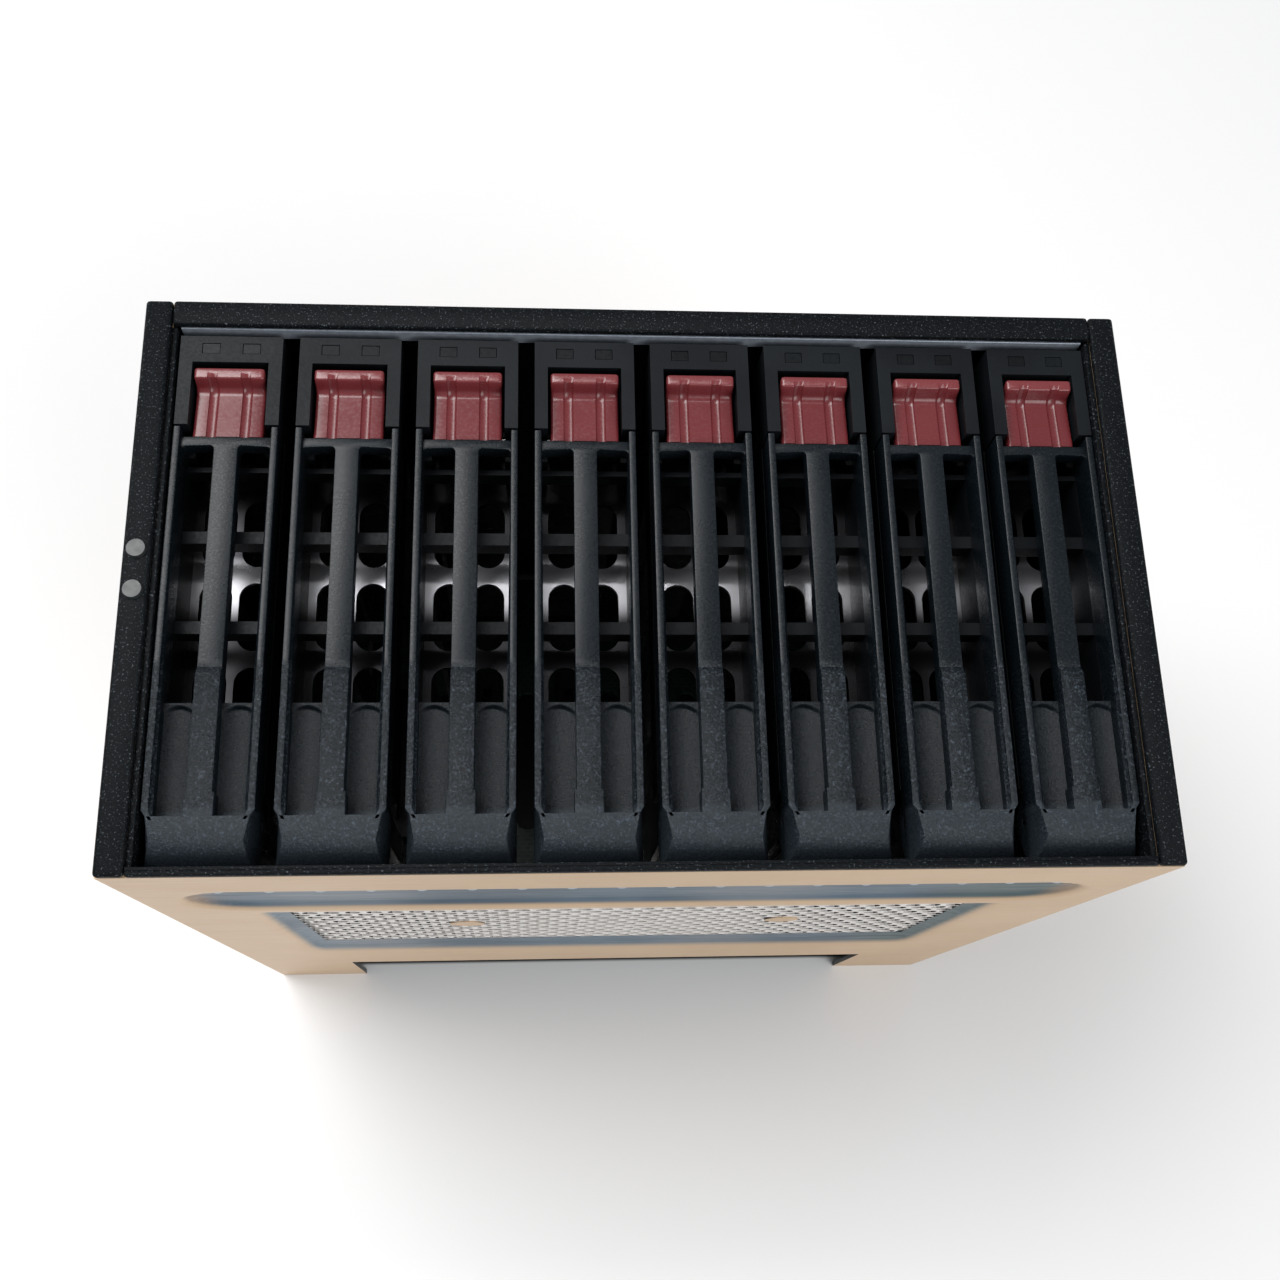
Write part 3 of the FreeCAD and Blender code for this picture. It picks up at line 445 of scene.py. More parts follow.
def softened(node, width):
    """A copy of a CAD node's mesh with its facets joined and its edges rounded, as moulds leave them."""
    work = bmesh.new()
    work.from_mesh(frame["nodes"][node].data)
    bmesh.ops.remove_doubles(work, verts=work.verts, dist=0.002 * MM)
    bmesh.ops.dissolve_limit(work, angle_limit=math.radians(1.0), verts=work.verts, edges=work.edges)
    return bevelled(ended(work, f"{node}_soft"), width, 2, angle=28.0)


def box_into(work, x_low, x_high, y_low, y_high, z_low, z_high):
    made = bmesh.ops.create_cube(work, size=1.0)
    middle = Vector(((x_low + x_high) / 2, (y_low + y_high) / 2, (z_low + z_high) / 2))
    bmesh.ops.scale(work, vec=(x_high - x_low, y_high - y_low, z_high - z_low), verts=made["verts"])
    bmesh.ops.translate(work, vec=middle, verts=made["verts"])


def moved(mesh, x):
    copy = mesh.copy()
    copy.transform(Matrix.Translation((x, 0, 0)))
    return copy


def smooth(share):
    """An even rise from 0 to 1 as the share goes from 0 to 1."""
    share = min(1.0, max(0.0, share))
    return share * share * (3 - 2 * share)


# ---------------------------------------------------------------- drawn solids, in millimetres

def in_mm(value):
    return value / MM


def arc(centre, radius, start, end, steps):
    """Points along an arc, by its angles in degrees."""
    turns = [math.radians(start + (end - start) * step / steps) for step in range(steps + 1)]
    return [(centre[0] + radius * math.cos(turn), centre[1] + radius * math.sin(turn)) for turn in turns]


def bore(centre, radius):
    """A round hole's outline."""
    return arc(centre, radius, 0, 345, 23)


def drawn(outlines, low, high, edge, plane="XY"):
    """A solid from closed outlines, the later ones as holes, with rounded rims. On YZ they are (y, z)."""
    curve = bpy.data.curves.new("outline", "CURVE")
    curve.dimensions = "2D"
    curve.fill_mode = "BOTH"
    for outline in outlines:
        spline = curve.splines.new("POLY")
        spline.points.add(len(outline) - 1)
        spline.use_cyclic_u = True
        for point, (u, v) in zip(spline.points, outline):
            point.co = (u, v, 0, 1)
    curve.extrude = (high - low) / 2 - edge
    curve.bevel_depth = edge
    curve.bevel_resolution = 1
    curve.offset = -edge
    mesh = settled(curve)
    mesh.transform(Matrix.Translation((0, 0, (low + high) / 2)))
    if plane == "YZ":
        mesh.transform(Matrix(((0, 0, 1, 0), (1, 0, 0, 0), (0, 1, 0, 0), (0, 0, 0, 1))))
    return mesh


def skin(work, grid, wanted=None):
    """Faces between the neighbours in a grid of vertices, or only where they are wanted."""
    for near, far in zip(grid, grid[1:]):
        for column in range(len(near) - 1):
            corners = (near[column], near[column + 1], far[column + 1], far[column])
            if wanted is None or wanted(sum((vert.co for vert in corners), Vector()) / 4):
                work.faces.new(corners)


def rim(grid):
    """The vertices round a grid's edge, in order."""
    return grid[0] + [line[-1] for line in grid[1:]] + grid[-1][-2::-1] + [line[0] for line in grid[-2:0:-1]]


def slab(front, rear):
    """A closed solid between two grids of points."""
    work = bmesh.new()
    grids = [[[work.verts.new(point) for point in line] for line in grid] for grid in (front, rear)]
    for grid in grids:
        skin(work, grid)
    front_rim, rear_rim = rim(grids[0]), rim(grids[1])
    for number in range(len(front_rim)):
        following = (number + 1) % len(front_rim)
        work.faces.new((front_rim[number], front_rim[following], rear_rim[following], rear_rim[number]))
    return ended(work, "slab")


def joined(meshes, name, angle=35.0, shape=None):
    """The solids as one mesh in metres, with outward faces and smooth curves."""
    work = bmesh.new()
    for mesh in meshes:
        part = bmesh.new()
        part.from_mesh(mesh)
        bmesh.ops.remove_doubles(part, verts=part.verts, dist=0.001)
        bmesh.ops.recalc_face_normals(part, faces=part.faces)
        part.to_mesh(mesh)
        part.free()
        work.from_mesh(mesh)
    if shape:
        for vert in work.verts:
            vert.co = shape(vert.co)
    bmesh.ops.scale(work, vec=(MM, MM, MM), verts=work.verts)
    return smoothed(ended(work, name), angle)


# ---------------------------------------------------------------- the ejector lever, in millimetres

lever_low, lever_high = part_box("lever_1")
FACE = in_mm(FACE_Z)
HALF = in_mm(lever_high.x - lever_low.x) / 2
CARRIER_LOW = in_mm(lever_low.y)
HORN_TOP = in_mm(lever_high.y)
HORN = 1.5
LEVER_TOP = HORN_TOP - HORN
LAP = 0.2                           # how far one solid runs into the next
PIN_BORE = 0.85
PIVOT_INSET = 6.8
PIVOT = (CARRIER_LOW + PIVOT_INSET, FACE - PIVOT_INSET)
SWEEP = 7.6                         # the foot's radius about the pivot
WALL, WALL_DEPTH, WALL_EDGE, WALL_TIP = 1.2, 7.0, 0.22, 4.6
SKIN = 4.2                          # from the face to the back of the bars
CROSS, CROSS_DROP, FILLET, WINDOW_CORNER = 1.6, 1.0, 0.7, 1.0
TONGUE_HALF, TONGUE_REACH, TONGUE_GAUGE = 4.0, 1.2, 1.2
BAR, BAR_STEP, STEP_RUN = 2.05, 1.2, 1.7
STEP_END = CARRIER_LOW + 31.0
PAD_TOP = CARRIER_LOW + 26.8
PAD_END = CARRIER_LOW + 7.5
PAD_DROP, PAD_SKIN, FLUTE, ARCH, ARCH_RIM = 2.8, 2.0, 1.05, 1.5, 0.55
NECK_LENGTH, NECK_SIDE, NECK_RISE = 3.9, 0.35, 0.04
FOOT_EDGE, FOOT_SKIN, FOOT_LIP = 0.28, 1.6, 0.4
TAPER_TOP = PAD_END + 0.9
TAPER, TAPER_FROM, TAPER_DEPTH = 1.5, 5.5, 5.0


def foot_points(inset=0.0):
    """The lever's foot from its flat front round to its low side, clear of the cage as it swings."""
    radius = SWEEP - inset
    reach = PIVOT_INSET - inset
    corner = math.degrees(math.asin(math.sqrt(radius ** 2 - reach ** 2) / radius))
    return arc(PIVOT, radius, 90 + corner, 180 + corner, 6)


def tapered(place):
    """Draws the front of the foot in from both sides, more towards its end."""
    along = (TAPER_TOP - place.y) / (TAPER_TOP - CARRIER_LOW)
    depth = min(1.0, max(0.0, (place.z - FACE + TAPER_DEPTH) / TAPER_DEPTH))
    reach = min(1.0, max(0.0, (abs(place.x) - TAPER_FROM) / (HALF - TAPER_FROM)))
    inward = TAPER * smooth(along * 4.0) * depth * reach
    return Vector((place.x - math.copysign(inward, place.x), place.y, place.z))


def lever_walls():
    """The two side walls, with the hinge's bore. Under the foot's skin they stand back from it."""
    stand_back = 0.6
    side = [(HORN_TOP, FACE - WALL_DEPTH), (HORN_TOP, FACE), (PAD_END + 1.0, FACE),
            (PAD_END - stand_back, FACE), (PAD_END - stand_back, FACE - stand_back)]
    side += foot_points(stand_back)
    side += [(CARRIER_LOW + stand_back, PIVOT[1] - 1.0), (PIVOT[0], PIVOT[1] - WALL_TIP),
             (PIVOT[0] + 4.0, FACE - WALL_DEPTH)]
    outlines = [side, bore(PIVOT, PIN_BORE)]
    return [drawn(outlines, low, low + WALL, WALL_EDGE, "YZ") for low in (HALF - WALL, -HALF)]


def lever_head():
    """The crossbar with the upper bar below it in one outline, and the tongue that the latch covers."""
    back, cross_low, inside = FACE - SKIN, LEVER_TOP - CROSS, HALF - WALL + LAP
    right = [(BAR, STEP_END - 2)]
    right += arc((BAR + FILLET, cross_low - FILLET), FILLET, 180, 90, 4)
    right += arc((inside - WINDOW_CORNER, cross_low - WINDOW_CORNER), WINDOW_CORNER - LAP, 90, 0, 3)
    head = right + [(inside, LEVER_TOP), (-inside, LEVER_TOP), (-inside, cross_low - WINDOW_CORNER)]
    head += [(-x, y) for x, y in reversed(right)]
    tongue = [(-TONGUE_HALF, LEVER_TOP - 1), (TONGUE_HALF, LEVER_TOP - 1),
              (TONGUE_HALF, LEVER_TOP + TONGUE_REACH), (-TONGUE_HALF, LEVER_TOP + TONGUE_REACH)]
    return [drawn([head], back, FACE - CROSS_DROP, 0.18), drawn([tongue], back, back + TONGUE_GAUGE, 0.1)]


def lever_bar():
    """The raised lower bar, the wider neck that it ends in, and the foot."""
    back = FACE - SKIN
    bar = [(PAD_END - LAP, back), (PAD_END - LAP, FACE), (STEP_END, FACE),
           (STEP_END + STEP_RUN, FACE - BAR_STEP), (STEP_END + STEP_RUN, back)]
    neck_top = PAD_END + NECK_LENGTH
    neck = [(PAD_END - 0.3, back), (PAD_END - 0.3, FACE + NECK_RISE), (neck_top - 0.9, FACE + NECK_RISE),
            (neck_top, FACE - 0.1), (neck_top, back)]
    foot = [(PAD_END, back), (PAD_END, FACE)] + foot_points()
    foot += [(CARRIER_LOW, PIVOT[1] - FOOT_LIP), (CARRIER_LOW + FOOT_SKIN, PIVOT[1] - FOOT_LIP),
             (CARRIER_LOW + FOOT_SKIN + LAP, back)]
    return [drawn([outline], -half, half, edge, "YZ") for outline, half, edge in (
        (bar, BAR + 0.02, 0.2), (neck, BAR + NECK_SIDE, 0.22), (foot, HALF, FOOT_EDGE))]


def pad(hand):
    """One finger pad: a hollow flute whose upper end is an arch."""
    near, far = BAR - 0.1, HALF - WALL + 0.1
    middle, half = (near + far) / 2, (far - near) / 2
    level, fine = FACE - PAD_DROP, 3.2
    xs = [middle + half * step / 10 for step in range(-10, 11)]
    ys = [PAD_END - 1, PAD_END + 3, PAD_END + 8, PAD_TOP - fine]
    ys += [PAD_TOP - fine + fine * step / 26 for step in range(1, 27)]

    def height(x, y):
        off = (x - middle) / half
        crest = PAD_TOP - 0.35 - ARCH * off * off
        return level - FLUTE * (1 - 0.75 * off * off) * smooth((crest - y) / ARCH_RIM)

    mesh = slab([[(x, y, height(x, y)) for x in xs] for y in ys],
                [[(x, y, level - PAD_SKIN) for x in xs] for y in ys])
    if hand < 0:
        mesh.transform(Matrix.Scale(-1, 4, (1, 0, 0)))
    return mesh


def lever_mesh():
    """The ejector lever: side walls, crossbar and bar, fluted pads and a flat grained foot."""
    solids = lever_walls() + lever_head() + lever_bar() + [pad(-1), pad(1)]
    return joined(solids, "ejector_lever", shape=tapered)


# ---------------------------------------------------------------- the thumb latch, in millimetres

latch_low, latch_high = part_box("latch_1")
LATCH_LOW = in_mm(latch_low.y)
LATCH_TOP = in_mm(latch_high.y)
LATCH_HALF = in_mm(latch_high.x - latch_low.x) / 2
LATCH_BACK = 3.4                    # from the face to the plate's back
LIP = 1.3
FINGER_FLUTE, FINGER_FLUTE_HALF, FINGER_FLUTE_DEPTH = 2.87, 0.88, 0.42
SIDE_ROUND, SIDE_ROUND_DEPTH = 0.6, 0.48
ARM, ARM_PLAY, ARM_EDGE, ARM_BOSS = 1.45, 0.1, 0.15, 2.0
LATCH_PIN = (LATCH_LOW + 4.9, FACE - 12.5)


def latch_profile():
    """The thumb latch's front from foot to top as (y, depth behind the face), round at its bends."""
    foot_depth, fall, straight = -1.75, 0.5, 7.1
    points = [(LATCH_LOW + straight * step / 6, foot_depth - fall * step / 6) for step in range(6)]
    points += arc((LATCH_TOP - 3.95, -0.95), 1.35, 262, 338, 7)
    points += [(LATCH_TOP - 2.35, -0.6), (LATCH_TOP - 2.1, 0.05)]
    points += arc((LATCH_TOP - 1.7, 0.13), 0.32, 150, 90, 3)
    points += [(LATCH_TOP - 1.1, 0.5), (LATCH_TOP - 0.7, 0.48)]
    points += arc((LATCH_TOP - 0.35, 0.15), 0.35, 80, 0, 4)
    return points + [(LATCH_TOP, -1.2), (LATCH_TOP - 0.1, -1.6)]


def latch_columns():
    """Where the plate is sampled across: close at its round sides and over the two flutes."""
    over_flute = (-1.25, -1.02, -0.93, -0.75, -0.5, -0.25, 0.0, 0.25, 0.5, 0.75, 0.93, 1.02, 1.25)
    marks = {LATCH_HALF, LATCH_HALF - 0.12, LATCH_HALF - 0.3, LATCH_HALF - SIDE_ROUND, 0.0, 0.9}
    marks |= {FINGER_FLUTE + FINGER_FLUTE_HALF * share for share in over_flute}
    return sorted(marks | {-mark for mark in marks})


def sunk(x, in_flute):
    """How far the plate lies under its profile at a place across."""
    off = (abs(x) - FINGER_FLUTE) / FINGER_FLUTE_HALF
    flute = FINGER_FLUTE_DEPTH * math.sqrt(1 - off * off) if in_flute and abs(off) < 1 else 0.0
    edge = min(1.0, max(0.0, (abs(x) - LATCH_HALF + SIDE_ROUND) / SIDE_ROUND))
    return flute + SIDE_ROUND_DEPTH * (1 - math.sqrt(1 - edge ** 2))


def latch_mesh():
    """The dark red thumb latch: a curved plate with two finger flutes, on two arms about its pin."""
    profile, xs = latch_profile(), latch_columns()
    front = []
    for number, (y, depth) in enumerate(profile):
        before, after = profile[max(0, number - 1)], profile[min(len(profile) - 1, number + 1)]
        run, rise = Vector((after[0] - before[0], after[1] - before[1])).normalized()
        drops = [sunk(x, y <= LATCH_TOP - LIP) for x in xs]
        front.append([(x, y + drop * rise, FACE + depth - drop * run) for x, drop in zip(xs, drops)])
    rear = [[(x, min(y, LATCH_TOP - 1.4), FACE - LATCH_BACK) for x in xs] for y, _ in profile]
    arm_back = FACE - LATCH_BACK + LAP
    arm = [(LATCH_LOW + 1.6, arm_back), (LATCH_PIN[0] - ARM_BOSS, LATCH_PIN[1])]
    arm += arc(LATCH_PIN, ARM_BOSS, 180, 360, 10)
    arm += [(LATCH_TOP - 2.0, arm_back)]
    outlines = [arm, bore(LATCH_PIN, PIN_BORE)]
    arms = [drawn(outlines, low, low + ARM - ARM_PLAY, ARM_EDGE, "YZ")
            for low in (LATCH_HALF - ARM, ARM_PLAY - LATCH_HALF)]
    return joined([slab(front, rear)] + arms, "thumb_latch", angle=42.0)


# ---------------------------------------------------------------- carriers

def dress_carriers():
    """Every carrier's bezel, lever and latch, each made once and copied along the row."""
    first = bay_x(1)
    bezel_shape = moved(softened("bezel_1", 0.2 * MM), -first)
    lever_shape = lever_mesh()
    latch_shape = latch_mesh()
    for bay in range(1, BAYS + 1):
        middle = bay_x(bay)
        bezel = new_piece(f"bezel_shell_{bay}", moved(bezel_shape, middle), "bezel", f"carrier_{bay}")
        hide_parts(f"bezel_{bay}")
        lever = new_piece(f"ejector_lever_{bay}", moved(lever_shape, middle), "lever", f"lever_arm_{bay}")
        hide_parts(f"lever_{bay}")
        latch = new_piece(f"thumb_latch_{bay}", moved(latch_shape, middle), "latch", f"latch_arm_{bay}")
        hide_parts(f"latch_{bay}")


# ---------------------------------------------------------------- cage

PLATE_GAUGE = 1.1 * MM
PRESSING = 1.15 * MM
CHANNEL_Z = MOUTH_Z - 30.2 * MM
CHANNEL_HALF_X = 81 * MM
CHANNEL_RADIUS = 11.8 * MM
FIELD_NEAR_Z = MOUTH_Z - 48 * MM
FIELD_FAR_Z = MOUTH_Z - 105 * MM
FIELD_HALF_X = 66 * MM
FIELD_HALF_Z = (FIELD_NEAR_Z - FIELD_FAR_Z) / 2
FIELD_Z = (FIELD_NEAR_Z + FIELD_FAR_Z) / 2
NOTCH_HALF_X = 65 * MM
NOTCH_TOP = 34 * MM
VENT_PITCH, VENT_RADIUS, VENT_GAUGE = 4.1 * MM, 1.55 * MM, 0.9 * MM
PIP_COUNT, PIP_PITCH, PIP_RADIUS, PIP_SINK = 18, 8.5 * MM, 1.05 * MM, 0.35 * MM
DISC_RADIUS, DISC_GAUGE, DISC_X = 3.6 * MM, 1.1 * MM, 33 * MM
BAND, LOWER_BAND, SEAM = 4.7 * MM, 1.6 * MM, 0.12 * MM


def pressed_in(x, z):
    """How far the lower plate is pressed in, from 0 to 1: the stadium channel and the vent field's tray."""
    slope, far_slope, side_slope = 2.4 * MM, 16 * MM, 5 * MM
    near_rim, far_rim, side_rim = 2.6 * MM, 20 * MM, 6 * MM
    off = math.hypot(max(0.0, abs(x) - CHANNEL_HALF_X + CHANNEL_RADIUS), z - CHANNEL_Z)
    channel = smooth((CHANNEL_RADIUS - off) / slope)
    near = smooth((FIELD_NEAR_Z + near_rim - z) / slope)
    far = smooth((z - FIELD_FAR_Z + far_rim) / far_slope)
    side = smooth((FIELD_HALF_X + side_rim - abs(x)) / side_slope)
    return max(channel, near * far * side)


def is_sheet(place):
    """Whether the lower plate has metal at a place: not in the vent field or the cable notch."""
    in_field = abs(place.x) < FIELD_HALF_X and abs(place.z - FIELD_Z) < FIELD_HALF_Z
    in_notch = abs(place.x) < NOTCH_HALF_X and place.z < NOTCH_TOP
    return not (in_field or in_notch)


def lines(low, high, count, wanted):
    """Even grid lines, with the nearest one moved to each wanted place."""
    values = [low + (high - low) * number / count for number in range(count + 1)]
    for target in wanted:
        nearest = min(range(count + 1), key=lambda index: abs(values[index] - target))
        values[nearest] = target
    return values


def bottom_sheet():
    """The pressed lower plate: the vent field and the cable notch are left open in it."""
    low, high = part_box("bottom_plate")
    xs = lines(low.x, high.x, 150, (-FIELD_HALF_X, FIELD_HALF_X, -NOTCH_HALF_X, NOTCH_HALF_X))
    zs = lines(low.z, high.z, 150, (FIELD_FAR_Z, FIELD_NEAR_Z, NOTCH_TOP))
    work = bmesh.new()
    pressed = work.verts.layers.float.new("pressed")
    grid = [[work.verts.new((x, -HALF_Y + PRESSING * pressed_in(x, z), z)) for x in xs] for z in zs]
    for vert in work.verts:
        vert[pressed] = pressed_in(vert.co.x, vert.co.z)
    skin(work, grid, is_sheet)
    bmesh.ops.delete(work, geom=[vert for vert in work.verts if not vert.link_faces], context="VERTS")
    bmesh.ops.recalc_face_normals(work, faces=work.faces)
    if sum(face.normal.y for face in work.faces) > 0:
        bmesh.ops.reverse_faces(work, faces=work.faces)
    sheet = settled(ended(work, "pressed_sheet"), ("SOLIDIFY", {"thickness": PLATE_GAUGE, "offset": -1}))
    return smoothed(sheet, 40)


def geometry_tree(name, inputs):
    """A Geometry Nodes tree with a geometry input and named inputs, and the sockets of those inputs."""
    group = bpy.data.node_groups.new(name, "GeometryNodeTree")
    group.interface.new_socket("Geometry", in_out="INPUT", socket_type="NodeSocketGeometry")
    for key, kind in inputs.items():
        group.interface.new_socket(key, in_out="INPUT", socket_type=kind)
    group.interface.new_socket("Geometry", in_out="OUTPUT", socket_type="NodeSocketGeometry")
    tree = Tree(group)
    return tree, [tree.node("NodeGroupInput", {}, {}, key) for key in ("Geometry", *inputs)]


def end_tree(tree, points, shape, finish, merge_distance=0.0):
    """Puts the shape on the points, as real geometry in one finish, and ends the tree."""
    placed = tree.node("GeometryNodeInstanceOnPoints", {}, {"Points": points, "Instance": shape})
    real = tree.node("GeometryNodeRealizeInstances", {}, {"Geometry": placed})
    if merge_distance:
        real = tree.node("GeometryNodeMergeByDistance", {}, {"Geometry": real, "Distance": merge_distance})
    painted = tree.node("GeometryNodeSetMaterial", {}, {"Geometry": real, "Material": FINISHES[finish]})
    plug(tree.tree, painted, tree.tree.nodes.new("NodeGroupOutput").inputs[0])
    return tree.tree


def vent_tree():
    """Perforated sheet: staggered rows of hexagonal cells."""
    tree, (cell, pitch, width, height) = geometry_tree(
        "perforated_sheet", {key: "NodeSocketFloat" for key in ("Pitch", "Width", "Height")})
    row_pitch = pitch * (math.sqrt(3) / 2)
    columns, rows = (width / pitch).whole(), (height / row_pitch).whole()
    grid = tree.node("GeometryNodeMeshGrid", {}, {
        "Vertices X": columns, "Vertices Y": rows,
        "Size X": (columns - 1.0) * pitch, "Size Y": (rows - 1.0) * row_pitch})
    odd = tree.node("GeometryNodeInputIndex", {}, {}) % rows % 2.0
    shift = tree.node("ShaderNodeCombineXYZ", {}, {"X": (odd - 0.5) * pitch * 0.5})
    points = tree.node("GeometryNodeSetPosition", {}, {"Geometry": grid, "Offset": shift})
    return end_tree(tree, points, cell, "vents", merge_distance=0.02 * MM)


def vent_cell():
    """One hexagonal cell of sheet with a round hole, flat on XY."""
    work = bmesh.new()
    outer, inner = [], []
    for number in range(12):
        turn = math.radians(30 * number + 30)
        reach = VENT_PITCH / (math.sqrt(3) if number % 2 == 0 else 2)
        for ring, radius in ((outer, reach), (inner, VENT_RADIUS)):
            ring.append(work.verts.new((radius * math.cos(turn), radius * math.sin(turn), 0)))
    for number in range(12):
        following = (number + 1) % 12
        work.faces.new((outer[number], outer[following], inner[following], inner[number]))
    return ended(work, "vent_cell")


def vent_field():
    """The perforated sheet of the vent field, laid in its tray with the sheet's own thickness."""
    mesh = settled(vent_cell(),
                   ("NODES", {"node_group": vent_tree(), "Pitch": VENT_PITCH, "Width": 2 * FIELD_HALF_X,
                              "Height": 2 * FIELD_HALF_Z}),
                   ("SOLIDIFY", {"thickness": VENT_GAUGE, "offset": -1}))
    mesh.transform(Matrix.Rotation(math.radians(90), 4, "X"))
    mesh.transform(Matrix.Translation((0, -HALF_Y + PRESSING + 0.05 * MM, FIELD_Z)))
    return mesh


def pip_tree():
    """A row of pips along X."""
    tree, (pip, count, pitch) = geometry_tree(
        "pip_row", {"Count": "NodeSocketInt", "Pitch": "NodeSocketFloat"})
    step = tree.node("ShaderNodeCombineXYZ", {}, {"X": pitch})
    points = tree.node("GeometryNodeMeshLine", {}, {"Count": count, "Offset": step})
    return end_tree(tree, points, pip, "lip")


def pip_row():
    """The row of small pressed pips along the channel's near edge."""
    work = bmesh.new()
    bmesh.ops.create_uvsphere(work, u_segments=16, v_segments=10, radius=PIP_RADIUS)
    bmesh.ops.scale(work, vec=(1.0, 0.4, 1.0), verts=work.verts)
    mesh = settled(ended(work, "pip"),
                   ("NODES", {"node_group": pip_tree(), "Count": PIP_COUNT, "Pitch": PIP_PITCH}))
    first = -(PIP_COUNT - 1) * PIP_PITCH / 2
    mesh.transform(Matrix.Translation((first, -HALF_Y + PIP_SINK, CHANNEL_Z + CHANNEL_RADIUS - 0.6 * MM)))
    return smoothed(mesh, 180)


def vent_discs():
    """The two plain round pads in the vent field."""
    work = bmesh.new()
    for x in (-DISC_X, DISC_X):
        verts = bmesh.ops.create_cone(work, cap_ends=True, segments=40, radius1=DISC_RADIUS,
                                      radius2=DISC_RADIUS, depth=DISC_GAUGE)["verts"]
        bmesh.ops.rotate(work, cent=(0, 0, 0), matrix=Matrix.Rotation(math.radians(90), 3, "X"), verts=verts)
        bmesh.ops.translate(work, vec=(x, -HALF_Y + PRESSING + 0.4 * MM, FIELD_Z), verts=verts)
    return ended(work, "vent_discs")


def mouth_lip():
    """The bright edge of the cage's own sheet that shows under the top band."""
    lip_half_x, low, high = 81.5 * MM, HALF_Y - BAND - 0.1 * MM, HALF_Y - BAND + 0.8 * MM
    work = bmesh.new()
    box_into(work, -lip_half_x, lip_half_x, low, high, MOUTH_Z - 4.6 * MM, MOUTH_Z - 1.5 * MM)
    return bevelled(ended(work, "mouth_lip"), 0.15 * MM, 2)


def butting_frame():
    """The black frame: two full-height side bands with their returns, the band between them at the latch
    end, and the thin lower band with a ledge behind its round edge. Folded edges are rounded."""
    low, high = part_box("front_frame")
    inner_x, inner_high, inner_low = high.x - BAND, high.y - BAND, low.y + LOWER_BAND
    between, back = inner_x - SEAM, MOUTH_Z - FRAME_GAUGE
    return_gauge, into_band = 0.9 * MM, 0.1 * MM
    return_box = (inner_low, inner_high, back - 10 * MM, back + 0.3 * MM)
    boxes = (
        ((low.x, -inner_x, low.y, high.y, back, MOUTH_Z), 0.7),
        ((inner_x, high.x, low.y, high.y, back, MOUTH_Z), 0.7),
        ((-between, between, inner_high, high.y, back, MOUTH_Z), 0.6),
        ((-between, between, low.y, inner_low - 0.55 * MM, back, MOUTH_Z), 0.45),
        ((-between, between, inner_low - 0.75 * MM, inner_low, back, MOUTH_Z - 0.35 * MM), 0.15),
        ((-inner_x - into_band, -inner_x + return_gauge, *return_box), 0.15),
        ((inner_x - return_gauge, inner_x + into_band, *return_box), 0.15))
    merged = bmesh.new()
    for box, round_edge in boxes:
        work = bmesh.new()
        box_into(work, *box)
        merged.from_mesh(bevelled(ended(work, "band"), round_edge * MM, 4))
    return smoothed(ended(merged, "frame_bands"), 60)


def dress_cage():
    sheet = new_piece("pressed_sheet", bottom_sheet(), "pressed", "cage")
    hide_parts("bottom_plate")
    new_piece("vent_sheet", vent_field(), "vents", "cage")
    new_piece("vent_discs", vent_discs(), "plate", "cage")
    new_piece("channel_pips", pip_row(), "lip", "cage")
    new_piece("mouth_lip", mouth_lip(), "lip", "cage")
    bands = new_piece("frame_bands", butting_frame(), "frame", "cage")
    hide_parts("front_frame")


def paint_nodes():
    """Gives every CAD node that stays in view the finish of its kind."""
    kinds = {"left_plate": "plate", "right_plate": "plate", "top_plate": "plate", "frame_rivets": "rivet",
             "backplane": "board", "backplane_screws": "pins", "drive_sockets": "socket",
             "cable_connectors": "connector", "upper_guides": "guide", "lower_guides": "guide"}
    for bay in range(1, BAYS + 1):
        kinds[f"tray_{bay}"] = "tray"
        kinds[f"pivots_{bay}"] = "pins"
        kinds[f"light_pipes_{bay}"] = "lamp"
    for node, finish in kinds.items():
        for slot in frame["nodes"][node].material_slots:
            slot.material = FINISHES[finish]


# ---------------------------------------------------------------- camera, floor and light

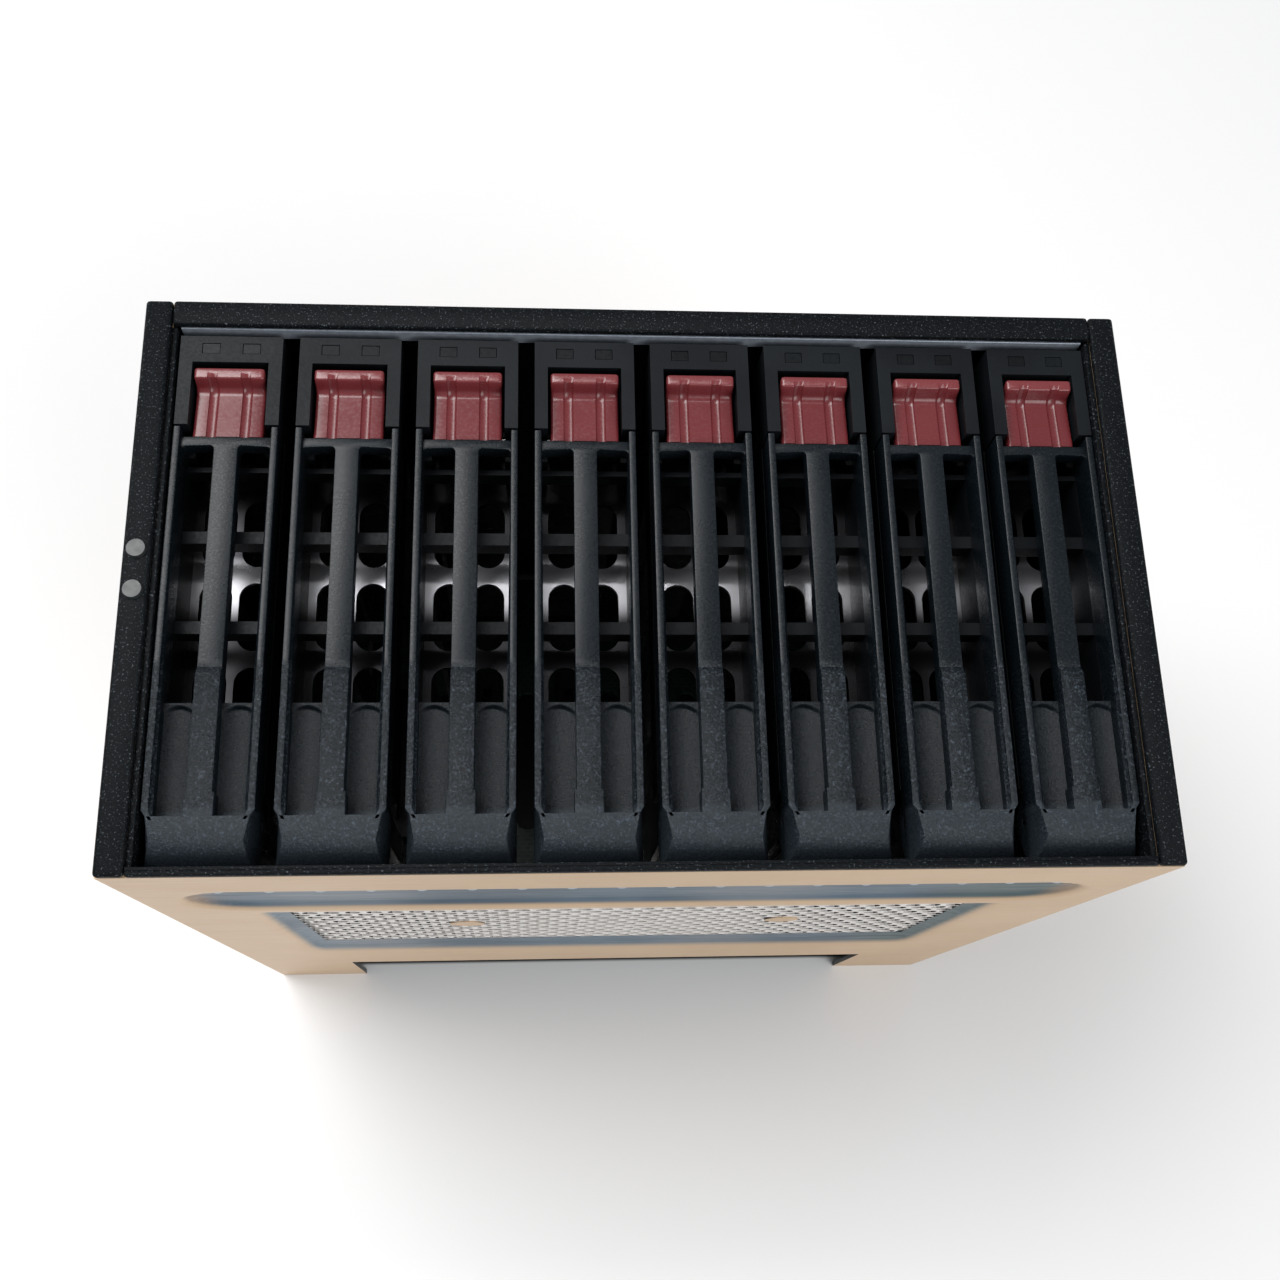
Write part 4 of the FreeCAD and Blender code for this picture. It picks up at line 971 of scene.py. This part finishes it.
def floor():
    bpy.ops.mesh.primitive_plane_add(size=8, location=(0, 0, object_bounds()[0].z))
    plane = bpy.context.object
    plane.name = "floor"
    finish = Finish("pale_floor")
    # The floor is painted near black under the cage, as the shade seen through its openings.
    under = [finish.ramp(abs(finish.axis(letter)), half - 3 * MM, half - 2 * MM, 1.0, 0.0)
             for letter, half in (("X", HALF_X), ("Y", HALF_Y))]
    finish.set(Base_Color=finish.mix(under[0] * under[1], colour(0.86, 0.86, 0.86), colour(0.01, 0.01, 0.01)))
    finish.set(Roughness=0.75)
    plane.data.materials.append(finish.material)
    plane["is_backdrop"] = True


def area_light(name, place, target, size, power):
    data = bpy.data.lights.new(name, "AREA")
    data.shape = "RECTANGLE"
    data.size, data.size_y = size
    data.energy = power
    lamp = bpy.data.objects.new(name, data)
    scene.collection.objects.link(lamp)
    lamp.location = place
    lamp.rotation_euler = (Vector(target) - Vector(place)).to_track_quat("-Z", "Y").to_euler()


def world():
    surround = bpy.data.worlds.new("pale_room")
    scene.world = surround
    surround.use_nodes = True
    tree = surround.node_tree
    back = tree.nodes["Background"]
    back.inputs["Color"].default_value = (0.9, 0.92, 0.95, 1)
    back.inputs["Strength"].default_value = 0.36
    white = tree.nodes.new("ShaderNodeBackground")
    white.inputs["Color"].default_value = (1, 1, 1, 1)
    white.inputs["Strength"].default_value = 1.0
    path = tree.nodes.new("ShaderNodeLightPath")
    blend = tree.nodes.new("ShaderNodeMixShader")
    seen = Sum(tree, path.outputs["Is Camera Ray"])
    tree.links.new(seen.socket, blend.inputs["Fac"])
    tree.links.new(back.outputs[0], blend.inputs[1])
    tree.links.new(white.outputs[0], blend.inputs[2])
    tree.links.new(blend.outputs[0], tree.nodes["World Output"].inputs["Surface"])


def camera():
    data = bpy.data.cameras.new("camera")
    data.lens = 39.97
    data.sensor_width = 36.0
    data.clip_start = 0.01
    view = bpy.data.objects.new("camera", data)
    scene.collection.objects.link(view)
    right = Vector((0.99715, -0.02209, 0.07212))
    up = Vector((-0.00114, 0.95165, 0.30719))
    back = -Vector((0.07542, 0.30639, -0.94891))
    turn = Matrix((right, up, back)).transposed()
    view.matrix_world = Matrix.Translation((-0.0196, -0.0849, 0.4052)) @ turn.to_4x4()
    scene.camera = view


dress_carriers()
dress_cage()
paint_nodes()
camera()
floor()
world()
area_light("key", (-0.5, 0.3, 1.1), (0, 0, 0.15), (0.7, 0.7), 12.0)
area_light("fill", (0.6, -0.7, 0.8), (0, 0, 0.1), (0.8, 0.8), 6.5)
area_light("strip", (0.05, 0.36, 1.14), (0, 0, 0.16), (0.4, 0.05), 0.6)
